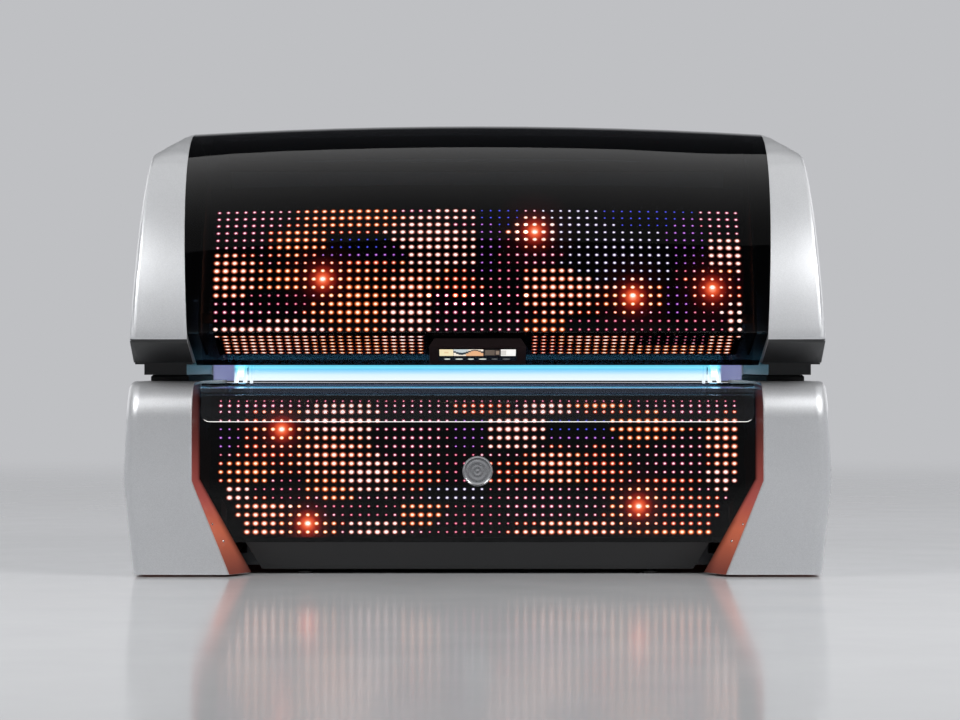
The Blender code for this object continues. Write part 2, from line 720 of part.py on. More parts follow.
def base_frame_solid():
    rail_top = FRAME_BOTTOM + TUBE
    front_back = FRAME_FRONT + TUBE
    rear_front = FRAME_REAR - TUBE
    end_in = FRAME_HALF - TUBE
    saddle_top = TROUGH_AXIS_Z - holder_radii(TROUGH_RADIUS + SHEET)[1] - FIT
    knee_low = PANEL_BOTTOM + POST_FOOT
    knee_high = knee_low + TUBE
    post_top = TROUGH_RIM - TROUGH_DEPTH + TUBE / 2
    parts = [
        block(-FRAME_HALF, FRAME_HALF, FRAME_FRONT, front_back, FRAME_BOTTOM, rail_top),
        block(-FRAME_HALF, FRAME_HALF, rear_front, FRAME_REAR, FRAME_BOTTOM, rail_top),
        block(-TUBE / 2, TUBE / 2, FRAME_FRONT, FRAME_REAR, FRAME_BOTTOM, rail_top),
        block(-FRAME_HALF, FRAME_HALF, rear_front, FRAME_REAR, SHELF_TOP - TUBE, SHELF_TOP),
        block(-FRAME_HALF, FRAME_HALF, FRAME_FACE, FRAME_FACE + TUBE, post_top - TUBE, post_top),
    ]
    gap = SPRING_X - SPRING_BODY - SHELF_NOTCH
    wide = SPRING_X + SPRING_BODY + SHELF_NOTCH
    for x0, x1 in ((-FRAME_HALF, -wide), (-gap, gap), (wide, FRAME_HALF)):
        parts.append(block(x0, x1, SHELF_FRONT, FRAME_REAR, SHELF_TOP - TUBE / 2, SHELF_TOP))
    for side in (-1, 1):
        x0 = min(side * end_in, side * FRAME_HALF)
        x1 = x0 + TUBE
        parts.append(block(x0, x1, FRAME_FRONT, FRAME_REAR, FRAME_BOTTOM, rail_top))
        parts.append(block(x0, x1, rear_front, FRAME_REAR, FRAME_BOTTOM, SHELF_TOP))
        parts.append(block(x0, x1, FRAME_FRONT, front_back, FRAME_BOTTOM, saddle_top))
        parts.append(block(x0, x1, FRAME_FRONT, FRAME_REAR, saddle_top - TUBE, saddle_top))
        p0 = min(side * POST_X, side * (POST_X + TUBE))
        p1 = p0 + TUBE
        parts.append(block(p0, p1, FRAME_FACE, FRAME_FACE + TUBE, knee_low, post_top))
        parts.append(block(p0, p1, FRAME_FACE, front_back, knee_low, knee_high))
        parts.append(block(p0, p1, FRAME_FRONT, front_back, FRAME_BOTTOM, knee_high))
        lug_x = side * (SPRING_X - SPRING_EYE_HALF - PIVOT_PLAY - LUG_WALL / 2)
        y = SPRING_FOOT_Y
        z = SPRING_FOOT_Z
        rail = sorted((lug_x - side * TUBE / 2, side * FRAME_HALF))
        parts.append(block(rail[0], rail[1], rear_front, FRAME_REAR, z - TUBE / 2, z + TUBE / 2))
        parts.append(block(lug_x - LUG_WALL / 2, lug_x + LUG_WALL / 2, y - LUG_HALF, FRAME_REAR - TUBE / 2,
                           z - LUG_HALF, z + LUG_HALF))
        tip = side * (SPRING_X + SPRING_EYE_HALF)
        parts.append(rod((lug_x, y, z), (tip, y, z), SPRING_STUD, PIN_SIDES))
    return joined(parts[0], parts[1:])


def holder_radii(sheet_outer):
    """Inner and outer radius of the lampholder plates behind a curved acrylic sheet."""
    lamp = sheet_outer + LAMP_BEHIND
    low = lamp - LAMP_RADIUS - HOLDER_MARGIN / 2
    high = lamp + REFLECTOR_BEHIND + REFLECTOR_WALL + HOLDER_MARGIN / 2
    return low, high


def lamp_angles(sheet_outer, arc_half):
    """Angles of the lamps, spread so that the reflector ends just past the acrylic's arc."""
    deep = sheet_outer + LAMP_BEHIND + REFLECTOR_BEHIND
    edge = asin((arc_half + REFLECTOR_MARGIN) / deep)
    return [edge * ((2 * i + 1) / LAMP_COUNT - 1) for i in range(LAMP_COUNT)]


def around(axis_z, radius, angle, up):
    """Point of an arc about an axis along X; the angle runs from the middle towards the back."""
    return (radius * sin(angle), axis_z + up * radius * cos(angle))


def reflector_solid(axis_z, sheet_outer, angles, holder_x, up):
    """Fluted reflector with a lampholder plate at each end."""
    lamp = sheet_outer + LAMP_BEHIND
    half_step = (angles[1] - angles[0]) / 2
    deep = lamp + REFLECTOR_BEHIND
    outline = [(angles[0] - half_step, deep - FLUTE)]
    for angle in angles:
        outline += [(angle - half_step / 2, deep), (angle + half_step / 2, deep)]
        outline += [(angle + half_step, deep - FLUTE)]
    front = [around(axis_z, r, a, up) for a, r in outline]
    back = [around(axis_z, r + REFLECTOR_WALL, a, up) for a, r in outline]
    x_in = holder_x - HOLDER_WALL / 2
    grids = [[[(x, p[0], p[1]) for x in (-x_in, x_in)] for p in points] for points in (front, back)]
    sheet = thick_sheet(grids[0], grids[1])
    low, high = holder_radii(sheet_outer)
    edge = angles[-1] + half_step + HOLDER_MARGIN / lamp
    steps = 14
    sweep = [-edge + 2 * edge * i / steps for i in range(steps + 1)]
    plate = [around(axis_z, low, a, up) for a in sweep]
    plate += [around(axis_z, high, a, up) for a in reversed(sweep)]
    plates = [prism(plate, side * holder_x, side * (holder_x - HOLDER_WALL)) for side in (-1, 1)]
    return joined(sheet, plates)


def lamp_solid(axis_z, sheet_outer, angle, holder_x, up):
    y, z = around(axis_z, sheet_outer + LAMP_BEHIND, angle, up)
    half = holder_x - HOLDER_WALL - FIT
    neck = LAMP_RADIUS * LAMP_NECK
    profile = [(-half, 0), (-half, neck), (-half + LAMP_CAP, neck), (-half + LAMP_CAP, LAMP_RADIUS),
               (half - LAMP_CAP, LAMP_RADIUS), (half - LAMP_CAP, neck), (half, neck), (half, 0)]
    return turned(profile, (0, y, z), (1, 0, 0), LAMP_SIDES)


def trough_solid():
    edge = asin(TROUGH_HALF / TROUGH_RADIUS)
    crest = TROUGH_RIM + TROUGH_CREST
    front_y = -TROUGH_HALF - TROUGH_LIP
    points = [(front_y, PANEL_TOP + FIT)]
    points += fillet((front_y, PANEL_TOP), (front_y, crest), (0, crest), TROUGH_ROLL, 3)
    points += [around(TROUGH_AXIS_Z, TROUGH_RADIUS, -edge + 2 * edge * i / 16, -1) for i in range(17)]
    rear_top = SHELF_TOP + FIT + SHEET
    points += [(TROUGH_HALF + TROUGH_ROLL, rear_top), (SHELF_FRONT + TUBE / 2, rear_top)]
    return drawn_sheet(points, SHEET, lambda z: TROUGH_LENGTH / 2)


def panel_profile():
    """Front panel: its flat face, its rounded top and the lip behind that."""
    lip = (PANEL_FACE + PANEL_ROUND + PANEL_LIP, PANEL_TOP)
    points = [(PANEL_FACE, PANEL_BOTTOM), (PANEL_FACE, KNEE)]
    points += fillet((PANEL_FACE, 0), (PANEL_FACE, PANEL_TOP), lip, PANEL_ROUND, 6)
    return points + [lip]


def front_panel_solid():
    return drawn_sheet(panel_profile(), PANEL_WALL, lambda z: panel_half(z) - SEAM)


def base_board_solid():
    """Board behind the panel's face and the start of its rounded top."""
    inside = inset(panel_profile(), PANEL_WALL + FIT)
    bottom = (inside[0][0], PANEL_BOTTOM + KICK_FLANGE + BOARD_WALL)
    points = [bottom] + inside[1:BOARD_TURN + 2]
    return drawn_sheet(points, BOARD_WALL, lambda z: panel_half(z) - BOARD_MARGIN)


def kick_solid():
    face = PANEL_FACE + PANEL_WALL + FIT
    points = [(face + KICK_BACK, KICK_BOTTOM), (face, PANEL_BOTTOM), (face, PANEL_BOTTOM + KICK_FLANGE)]
    return drawn_sheet(points, KICK_WALL, lambda z: panel_half(min(z, PANEL_BOTTOM)) - KICK_MARGIN)


def shield_solid():
    half = PANEL_HALF - SHIELD_MARGIN
    outline = [(-half, SHIELD_TOP)]
    outline += fillet((-half, SHIELD_TOP), (-half, SHIELD_BOTTOM), (half, SHIELD_BOTTOM), SHIELD_CORNER, 5)
    outline += fillet((-half, SHIELD_BOTTOM), (half, SHIELD_BOTTOM), (half, SHIELD_TOP), SHIELD_CORNER, 5)
    outline += [(half, SHIELD_TOP)]
    back = PANEL_FACE - FIT
    return loft([[(x, y, z) for x, z in outline] for y in (back - SHIELD_WALL, back)])


def disc_solid():
    r = DISC_RADIUS
    groove = DISC_GROOVE
    profile = [(0, 0), (0, r), (DISC_WALL, r), (DISC_WALL, r * 0.93)]
    for share in (0.72, 0.5, 0.28):
        profile += [(DISC_WALL - groove, r * (share + 0.17)), (DISC_WALL - groove / 3, r * (share + 0.08))]
        profile += [(DISC_WALL - groove, r * share)]
    profile += [(DISC_WALL - groove, 0)]
    return turned(profile, (0, PANEL_FACE - FIT, DISC_HEIGHT), (0, -1, 0), 28)


def air_slots(y0, y1, lowest, count):
    """Cutters for two columns of air slots, one above the other, through a wall at the back."""
    cuts = []
    for centre in (-FAN_X, FAN_X):
        left = centre - AIR_SLOT_LENGTH / 2
        for i in range(count):
            z = lowest + i * AIR_SLOT_PITCH
            cuts.append(block(left, left + AIR_SLOT_LENGTH, y0, y1, z, z + AIR_SLOT_HEIGHT))
    return cuts


def rear_panel_solid():
    y0 = FRAME_REAR + FIT
    half = PANEL_HALF - SEAM
    sheet = block(-half, half, y0, y0 + REAR_WALL, REAR_BOTTOM, SHELF_TOP)
    lowest = FAN_HEIGHT - (AIR_SLOTS - 1) / 2 * AIR_SLOT_PITCH - AIR_SLOT_HEIGHT / 2
    cuts = air_slots(y0 - REAR_WALL, y0 + 2 * REAR_WALL, lowest, AIR_SLOTS)
    return joined(sheet, cuts, "DIFFERENCE")


def floor_pan_solid():
    seat = FRAME_BOTTOM + TUBE + FIT
    half = POST_X - PAN_MARGIN
    return block(-half, half, FRAME_FRONT + TUBE / 2, FRAME_REAR - TUBE / 2, seat, seat + PAN_WALL)


def ballast_solid():
    seat = FRAME_BOTTOM + TUBE + FIT + PAN_WALL + FIT
    depth = BALLAST_DEPTH
    height = BALLAST_HEIGHT
    groove = height * (1 - FIN_SHARE)
    outline = [(-depth / 2, 0), (depth / 2, 0)]
    pitch = depth / (2 * BALLAST_FINS - 1)
    for i in range(BALLAST_FINS):
        right = depth / 2 - 2 * i * pitch
        outline += [(right, height), (right - pitch, height)]
        if i < BALLAST_FINS - 1:
            outline += [(right - pitch, groove), (right - 2 * pitch, groove)]
    points = [(BALLAST_Y + y, seat + z) for y, z in outline]
    return prism(points, BALLAST_X - BALLAST_LENGTH / 2, BALLAST_X + BALLAST_LENGTH / 2)


def fan_housing_solid():
    y1 = FRAME_REAR
    y0 = y1 - FAN_DEPTH
    half = FAN_SIZE / 2
    frame = block(FAN_X - half, FAN_X + half, y0, y1, FAN_HEIGHT - half, FAN_HEIGHT + half)
    bore = rod((FAN_X, y0 - FAN_DEPTH, FAN_HEIGHT), (FAN_X, y1 + FAN_DEPTH, FAN_HEIGHT), FAN_BORE, 36)
    frame = joined(frame, [bore], "DIFFERENCE")
    motor_y = y1 - FAN_DEPTH * FAN_MOTOR_SHARE
    motor = rod((FAN_X, motor_y, FAN_HEIGHT), (FAN_X, y1 - FAN_TIP_GAP / 2, FAN_HEIGHT), FAN_HUB, 24)
    reach = FAN_BORE + FAN_TIP_GAP
    spokes = []
    for half_x, half_z in ((reach, FAN_ARM), (FAN_ARM, reach)):
        spokes.append(block(FAN_X - half_x, FAN_X + half_x, y1 - 2 * FAN_ARM, y1 - FAN_TIP_GAP,
                            FAN_HEIGHT - half_z, FAN_HEIGHT + half_z))
    return joined(frame, [motor] + spokes)


def fan_rotor_solid():
    back = FRAME_REAR - FAN_DEPTH * FAN_MOTOR_SHARE - FIT
    depth = FAN_DEPTH * (0.88 - FAN_MOTOR_SHARE)
    front = back - depth
    hub = turned([(0, 0), (0, FAN_HUB), (depth * 0.85, FAN_HUB), (depth, FAN_HUB * 0.85), (depth, 0)],
                 (FAN_X, back, FAN_HEIGHT), (0, -1, 0), 24)
    tip = FAN_BORE - FAN_TIP_GAP
    blades = []
    for i in range(FAN_BLADES):
        grids = [[], []]
        for share in (0.0, 0.5, 1.0):
            radius = FAN_HUB * 0.9 + (tip - FAN_HUB * 0.9) * share
            width = radians(30) * (1 - 0.25 * share)
            for grid, shift in zip(grids, (0.0, FAN_BLADE_WALL)):
                row = []
                for k in (-0.5, 0.0, 0.5):
                    angle = 2 * pi * i / FAN_BLADES + k * width + radians(10) * share
                    y = (front + back) / 2 - shift - k * depth * (0.8 - 0.35 * share)
                    row.append((FAN_X + radius * cos(angle), y, FAN_HEIGHT + radius * sin(angle)))
                grid.append(row)
        blades.append(thick_sheet(grids[0], grids[1]))
    return joined(hub, blades)


def foot_solid(x, y):
    top = FRAME_BOTTOM - FIT
    profile = [(0, 0), (0, FOOT_RADIUS), (FOOT_PAD * 0.6, FOOT_RADIUS), (FOOT_PAD, FOOT_RADIUS * 0.6),
               (FOOT_PAD, FOOT_STEM_RADIUS), (top, FOOT_STEM_RADIUS), (top, 0)]
    return turned(profile, (x, y, 0), (0, 0, 1), PIN_SIDES)


def inlet_solid():
    y = FRAME_REAR + FIT + REAR_WALL + FIT
    r = INLET_RADIUS
    profile = [(0, 0), (0, r), (INLET_FLANGE, r), (INLET_FLANGE, r * 0.7), (INLET_LENGTH, r * 0.7)]
    profile += [(INLET_LENGTH, r * 0.5), (INLET_LENGTH / 2, r * 0.5), (INLET_LENGTH / 2, 0)]
    return turned(profile, (INLET_X, y, INLET_HEIGHT), (0, 1, 0), 20)


def rest_solid(side):
    z1 = REST_SEAT + REST_HEIGHT
    bevel = REST_EDGE
    x0, x1 = REST_X, REST_X + REST_WIDTH
    y0, y1 = REST_FRONT, REST_REAR
    rings = []
    for z, shrink in ((REST_SEAT, 0.0), (z1 - bevel, 0.0), (z1, bevel)):
        rings.append([(x0 + shrink, y0 + shrink, z), (x1 - shrink, y0 + shrink, z),
                      (x1 - shrink, y1 - shrink, z), (x0 + shrink, y1 - shrink, z)])
    return mirrored(loft(rings), side)


# Pieces of the canopy

def skirt_solid(side):
    z1 = CANOPY_FLOOR - FIT
    z0 = z1 - SKIRT_PLATE
    plate = block(SEAM_HALF + SKIRT_INSET, END_HALF - SKIRT_INSET, END_UNDER_Y + SKIRT_INSET,
                  END_REAR_Y - SKIRT_INSET, z0, z1)
    x0 = REST_X + SKIRT_OUT
    foot = block(x0, x0 + SKIRT_WIDTH, REST_FRONT - SKIRT_OVERHANG, REST_REAR + SKIRT_OVERHANG,
                 SKIRT_BOTTOM, z0 + SKIRT_PLATE / 2)
    return mirrored(joined(plate, [foot]), side)


def canopy_board_solid():
    """Board behind the chin and the front, inside the shell."""
    def profile_of(crown):
        inside = inset(shell_profile(crown), SHELL_WALL + 2 * FIT)
        start = Vector(inside[1]).lerp(Vector(inside[2]), BOARD_CHIN_SHARE)
        return [tuple(start)] + inside[2:BOARD_POINTS]

    return crowned_sheet(profile_of, BOARD_WALL, BOARD_REACH)


def rear_cover_solid():
    sheet = crowned_sheet(rear_profile, SHELL_WALL, 1.0)
    front = CANOPY_REAR - SHELL_WALL + REAR_TAB_INSET
    back = CANOPY_REAR - REAR_TAB_INSET
    low = CANOPY_FLOOR - REAR_DROP + REAR_FLANGE_RISE
    high = CANOPY_FLOOR - REAR_TAB_CLEAR
    outer = SEAM_HALF + REAR_TAB
    inner = SEAM_HALF - REAR_TAB / 2
    tabs = [block(inner, outer, front, back, low, high), block(-outer, -inner, front, back, low, high)]
    sheet = joined(sheet, tabs)
    lowest = CANOPY_FLOOR + REAR_SLOT_RISE - AIR_SLOT_HEIGHT / 2
    cuts = air_slots(CANOPY_REAR - RAIL, CANOPY_REAR + RAIL, lowest, AIR_SLOTS - 2)
    return joined(sheet, cuts, "DIFFERENCE")


def front_shell_solid():
    return crowned_sheet(shell_profile, SHELL_WALL, 1.0)


def ceiling_solid():
    grids = []
    half = CEILING_LENGTH / 2
    for radius in (CEILING_RADIUS, CEILING_RADIUS + SHEET):
        grids.append([[(x, *p) for x in (-half, half)] for p in ceiling_arc(radius)])
    return thick_sheet(grids[0], grids[1])


def ceiling_arc(radius):
    edge = asin(CEILING_HALF / CEILING_RADIUS)
    steps = 20
    return [around(CEILING_AXIS_Z, radius, edge - 2 * edge * i / steps, 1) for i in range(steps + 1)]


def rib_outline():
    """Arched rib: the shell's inside, with the ceiling's arch cut out of it."""
    crown = crown_at((RIB_X + RIB_WALL) / SEAM_HALF)
    outer = inset(shell_profile(crown)[1:] + rear_profile(crown)[1:-2], SHELL_WALL + FIT)
    outer += [(outer[-1][0], REAR_RAIL_Z - RAIL), (REAR_RAIL_Y, CANOPY_FLOOR + RIB_CLEAR)]
    arch = [p for p in ceiling_arc(CEILING_RADIUS + SHEET + FIT) if p[0] > CHIN_Y + 2 * RIB_CLEAR]
    outer[0] = (arch[-1][0] - 2 * RIB_CLEAR, arch[-1][1] - RIB_CLEAR)
    return outer + arch


def canopy_frame_solid():
    outline = rib_outline()
    parts = [prism(outline, side * RIB_X, side * (RIB_X + RIB_WALL)) for side in (-1, 1)]
    reach = RIB_X + RIB_WALL / 2
    for y, z in ((FRONT_RAIL_Y, FRONT_RAIL_Z), (0.0, TOP_RAIL_Z), (REAR_RAIL_Y, REAR_RAIL_Z)):
        parts.append(block(-reach, reach, y - RAIL / 2, y + RAIL / 2, z - RAIL / 2, z + RAIL / 2))
    rail_ends = [(REAR_RAIL_Y + RAIL / 2, REAR_RAIL_Z), (REAR_RAIL_Y - RAIL / 2, REAR_RAIL_Z)]
    eye = HINGE_ARM_EYE
    steps = [pi * i / 8 for i in range(9)]
    arm = [(HINGE_Y + eye * cos(a), HINGE_Z - eye * sin(a)) for a in steps]
    arm += list(reversed(rail_ends))
    stud_y = SPRING_HEAD_Y
    stud_z = SPRING_HEAD_Z
    lug = [(stud_y - LUG_HALF, stud_z - LUG_HALF), (stud_y + LUG_HALF, stud_z - LUG_HALF)] + rail_ends
    bores = []
    for side in (-1, 1):
        parts.append(prism(arm, side * (HINGE_X - HINGE_ARM / 2), side * (HINGE_X + HINGE_ARM / 2)))
        lug_x = SPRING_X - SPRING_EYE_HALF - PIVOT_PLAY - LUG_WALL
        parts.append(prism(lug, side * lug_x, side * (lug_x + LUG_WALL)))
        parts.append(rod((side * (lug_x + LUG_WALL / 2), stud_y, stud_z),
                         (side * (SPRING_X + SPRING_EYE_HALF), stud_y, stud_z), SPRING_STUD, PIN_SIDES))
        bores.append(rod((side * (HINGE_X - HINGE_ARM), HINGE_Y, HINGE_Z),
                         (side * (HINGE_X + HINGE_ARM), HINGE_Y, HINGE_Z), pin_bore(), PIN_SIDES))
    return joined(joined(parts[0], parts[1:]), bores, "DIFFERENCE")


def pin_bore():
    """Radius of a faceted bore that a pin can turn in."""
    return (PIN_RADIUS + FIT) / cos(pi / PIN_SIDES)


def hinge_bracket_solid(side):
    inner = HINGE_ARM / 2 + PIVOT_PLAY
    outer = inner + HINGE_CHEEK
    seat = SHELF_TOP + FIT
    steps = [pi * i / 8 for i in range(9)]
    front = FRAME_REAR - BRACKET_LENGTH
    cheek = [(front, seat), (FRAME_REAR, seat)]
    cheek += [(HINGE_Y + HINGE_EYE * cos(a - 0.5), HINGE_Z + HINGE_EYE * sin(a - 0.5)) for a in steps]
    foot = block(HINGE_X - outer, HINGE_X + outer, front, FRAME_REAR, seat, seat + BRACKET_FOOT)
    cheeks = [prism(cheek, HINGE_X - outer, HINGE_X - inner), prism(cheek, HINGE_X + inner, HINGE_X + outer)]
    bore_from = (HINGE_X - 2 * outer, HINGE_Y, HINGE_Z)
    bore_to = (HINGE_X + 2 * outer, HINGE_Y, HINGE_Z)
    bore = rod(bore_from, bore_to, pin_bore(), PIN_SIDES)
    return mirrored(joined(joined(foot, cheeks), [bore], "DIFFERENCE"), side)


def hinge_pin_solid(side):
    half = HINGE_ARM / 2 + PIVOT_PLAY + HINGE_CHEEK + FIT
    head = PIN_RADIUS * 1.5
    profile = [(-half - PIN_HEAD, 0), (-half - PIN_HEAD, head), (-half, head), (-half, PIN_RADIUS),
               (half + PIN_HEAD, PIN_RADIUS), (half + PIN_HEAD, 0)]
    return mirrored(turned(profile, (HINGE_X, HINGE_Y, HINGE_Z), (1, 0, 0), PIN_SIDES), side)


def spring_line():
    """Foot, head and direction of a gas spring, in the side view."""
    foot = Vector((SPRING_FOOT_Y, SPRING_FOOT_Z))
    head = Vector((SPRING_HEAD_Y, SPRING_HEAD_Z))
    return foot, head, (head - foot).normalized()


def eye_solid(side, centre, bore):
    x = side * SPRING_X
    ring = rod((x - SPRING_EYE_HALF, *centre), (x + SPRING_EYE_HALF, *centre), SPRING_EYE, SPRING_SIDES)
    reach = 2 * SPRING_EYE_HALF
    hole = rod((x - reach, *centre), (x + reach, *centre), bore / cos(pi / PIN_SIDES), PIN_SIDES)
    return ring, hole


def spring_body_solid(side):
    foot, head, direction = spring_line()
    x = side * SPRING_X
    place = Vector((x, *foot))
    bore = SPRING_ROD + FIT / cos(pi / SPRING_SIDES)
    neck = SPRING_EYE - SPRING_MERGE
    wall_start = LUG_HALF * 1.5
    profile = [(neck, 0), (neck, SPRING_NECK), (wall_start, SPRING_NECK), (wall_start, SPRING_BODY),
               (SPRING_BODY_LENGTH, SPRING_BODY),
               (SPRING_BODY_LENGTH, bore), (SPRING_BORE_FROM, bore), (SPRING_BORE_FROM, 0)]
    tube = turned(profile, place, (0, direction.x, direction.y), SPRING_SIDES)
    ring, hole = eye_solid(side, foot, SPRING_STUD + FIT)
    return joined(joined(tube, [ring]), [hole], "DIFFERENCE")


def spring_rod_solid(side):
    foot, head, direction = spring_line()
    x = side * SPRING_X
    end = (head - foot).length - SPRING_EYE + SPRING_MERGE
    profile = [(SPRING_ROD_FROM, 0), (SPRING_ROD_FROM, SPRING_ROD), (end, SPRING_ROD), (end, 0)]
    shaft = turned(profile, Vector((x, *foot)), (0, direction.x, direction.y), SPRING_SIDES)
    ring, hole = eye_solid(side, head, SPRING_STUD + SPRING_PLAY)
    return joined(joined(shaft, [ring]), [hole], "DIFFERENCE")


def chin_point(along, out):
    """Point by its distance along the chin from the nose and its distance out from the chin."""
    nose = Vector(nose_point())
    run = (Vector(chin_end()) - nose).normalized()
    place = nose + run * along + Vector((run.y, -run.x)) * out
    return place.x, place.y


def pod_solid():
    end = POD_START + POD_LENGTH
    rows = [(POD_START, POD_HALF_TOP, FIT), (POD_START + POD_BEVEL, POD_HALF, POD_DEPTH),
            (end, POD_HALF, POD_DEPTH), (end, POD_HALF, FIT)]
    rings = []
    for side in (-1, 1):
        rings.append([(side * half, *chin_point(along, out)) for along, half, out in rows])
    return loft(rings)


def screen_solid():
    rows = [(SCREEN_START, POD_DEPTH + FIT), (SCREEN_START, POD_DEPTH + FIT + SCREEN_WALL),
            (SCREEN_START + SCREEN_LENGTH, POD_DEPTH + FIT + SCREEN_WALL),
            (SCREEN_START + SCREEN_LENGTH, POD_DEPTH + FIT)]
    return prism([chin_point(along, out) for along, out in rows], -SCREEN_HALF, SCREEN_HALF)


# Assembly

def build_base(root):
    silver = material("silver_lacquer", (0.60, 0.61, 0.62), 0.32, 0.85)
    black = material("black_gloss_acrylic", (0.006, 0.006, 0.007), 0.06)
    clear = material("clear_acrylic", (0.85, 0.92, 1.0), 0.03, 0.0, 1.0)
    steel = material("painted_steel", (0.10, 0.10, 0.11), 0.5, 0.6)
    board = material("circuit_board", (0.02, 0.03, 0.03), 0.5)
    mirror = material("reflector_aluminium", (0.85, 0.86, 0.88), 0.15, 1.0)
    lamp = material("lamp_glass", (0.75, 0.82, 1.0), 0.2)
    rubber = material("black_rubber", (0.02, 0.02, 0.02), 0.8)
    plastic = material("black_plastic", (0.02, 0.02, 0.022), 0.45)
    chrome = material("satin_metal", (0.7, 0.7, 0.7), 0.25, 1.0)
    trough_outer = TROUGH_RADIUS + SHEET

    piece("base_frame", base_frame_solid(), steel, root)
    for name, side in SIDES:
        piece(f"base_cover_{name}", base_cover_solid(side), silver, root)
        piece(f"rest_{name}", rest_solid(side), rubber, root)
        piece(f"hinge_bracket_{name}", hinge_bracket_solid(side), steel, root)
        piece(f"hinge_pin_{name}", hinge_pin_solid(side), chrome, root)
        for end, y in (("front", FRAME_FRONT + TUBE / 2), ("rear", FRAME_REAR - TUBE / 2)):
            piece(f"foot_{end}_{name}", foot_solid(side * FOOT_X, y), rubber, root)
    piece("base_front_panel", front_panel_solid(), black, root)
    piece("base_lamp_board", base_board_solid(), board, root)
    piece("kick_panel", kick_solid(), black, root)
    piece("front_shield", shield_solid(), clear, root)
    piece("front_disc", disc_solid(), chrome, root)
    piece("base_rear_panel", rear_panel_solid(), steel, root)
    piece("floor_pan", floor_pan_solid(), steel, root)
    piece("bench_acrylic", trough_solid(), clear, root)
    angles = lamp_angles(trough_outer, TROUGH_HALF)
    tray = reflector_solid(TROUGH_AXIS_Z, trough_outer, angles, BENCH_HOLDER_X, -1)
    piece("bench_reflector", tray, mirror, root)
    for number, angle in enumerate(angles, 1):
        tube = lamp_solid(TROUGH_AXIS_Z, trough_outer, angle, BENCH_HOLDER_X, -1)
        piece(f"bench_lamp_{number}", tube, lamp, root)
    piece("ballast_box", ballast_solid(), steel, root)
    piece("fan_housing", fan_housing_solid(), plastic, root)
    piece("mains_inlet", inlet_solid(), plastic, root)
    piece("fan_rotor", fan_rotor_solid(), plastic, axis_empty("fan_axis", (FAN_X, FRAME_REAR, FAN_HEIGHT)))
    for name, side in SIDES:
        foot, head, direction = spring_line()
        swing = axis_empty(f"gas_spring_axis_{name}", (side * SPRING_X, *foot))
        piece(f"gas_cylinder_{name}", spring_body_solid(side), plastic, swing)
        piece(f"gas_rod_{name}", spring_rod_solid(side), chrome, swing)


def build_canopy(hinge):
    silver = material("silver_lacquer", (0.60, 0.61, 0.62), 0.32, 0.85)
    black = material("black_gloss_acrylic", (0.006, 0.006, 0.007), 0.06)
    clear = material("clear_acrylic", (0.85, 0.92, 1.0), 0.03, 0.0, 1.0)
    steel = material("painted_steel", (0.10, 0.10, 0.11), 0.5, 0.6)
    board = material("circuit_board", (0.02, 0.03, 0.03), 0.5)
    mirror = material("reflector_aluminium", (0.85, 0.86, 0.88), 0.15, 1.0)
    lamp = material("lamp_glass", (0.75, 0.82, 1.0), 0.2)
    plastic = material("black_plastic", (0.02, 0.02, 0.022), 0.45)
    ceiling_outer = CEILING_RADIUS + SHEET
    holder_x = RIB_X - FIT

    piece("canopy_front_shell", front_shell_solid(), black, hinge)
    piece("canopy_lamp_board", canopy_board_solid(), board, hinge)
    piece("canopy_rear_cover", rear_cover_solid(), plastic, hinge)
    for name, side in SIDES:
        piece(f"canopy_cover_{name}", end_cover_solid(side), silver, hinge)
        piece(f"canopy_skirt_{name}", skirt_solid(side), plastic, hinge)
    piece("canopy_frame", canopy_frame_solid(), steel, hinge)
    piece("canopy_acrylic", ceiling_solid(), clear, hinge)
    angles = lamp_angles(ceiling_outer, CEILING_HALF)
    tray = reflector_solid(CEILING_AXIS_Z, ceiling_outer, angles, holder_x, 1)
    piece("canopy_reflector", tray, mirror, hinge)
    for number, angle in enumerate(angles, 1):
        tube = lamp_solid(CEILING_AXIS_Z, ceiling_outer, angle, holder_x, 1)
        piece(f"canopy_lamp_{number}", tube, lamp, hinge)
    piece("control_pod", pod_solid(), plastic, hinge)
    piece("control_screen", screen_solid(), black, hinge)


def main():
    for obj in list(bpy.data.objects):
        bpy.data.objects.remove(obj)
    build_base(axis_empty("base_origin", (0, 0, 0)))
    build_canopy(axis_empty("canopy_hinge_axis", (0, HINGE_Y, HINGE_Z)))
    bpy.context.view_layer.update()


main()
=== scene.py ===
# %% [markdown]
# This lesson dresses a horizontal light bed: a base to lie on and a canopy that closes over it.
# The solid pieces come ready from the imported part, and their shapes stay, apart from two small trims: the top corner
# of the canopy's end covers and the lower edge of the rear panel.
# What is added are finishes, the small lamps behind the two dark fronts, the picture on the touch screen and a few
# screws, and then a floor, soft light and a camera.

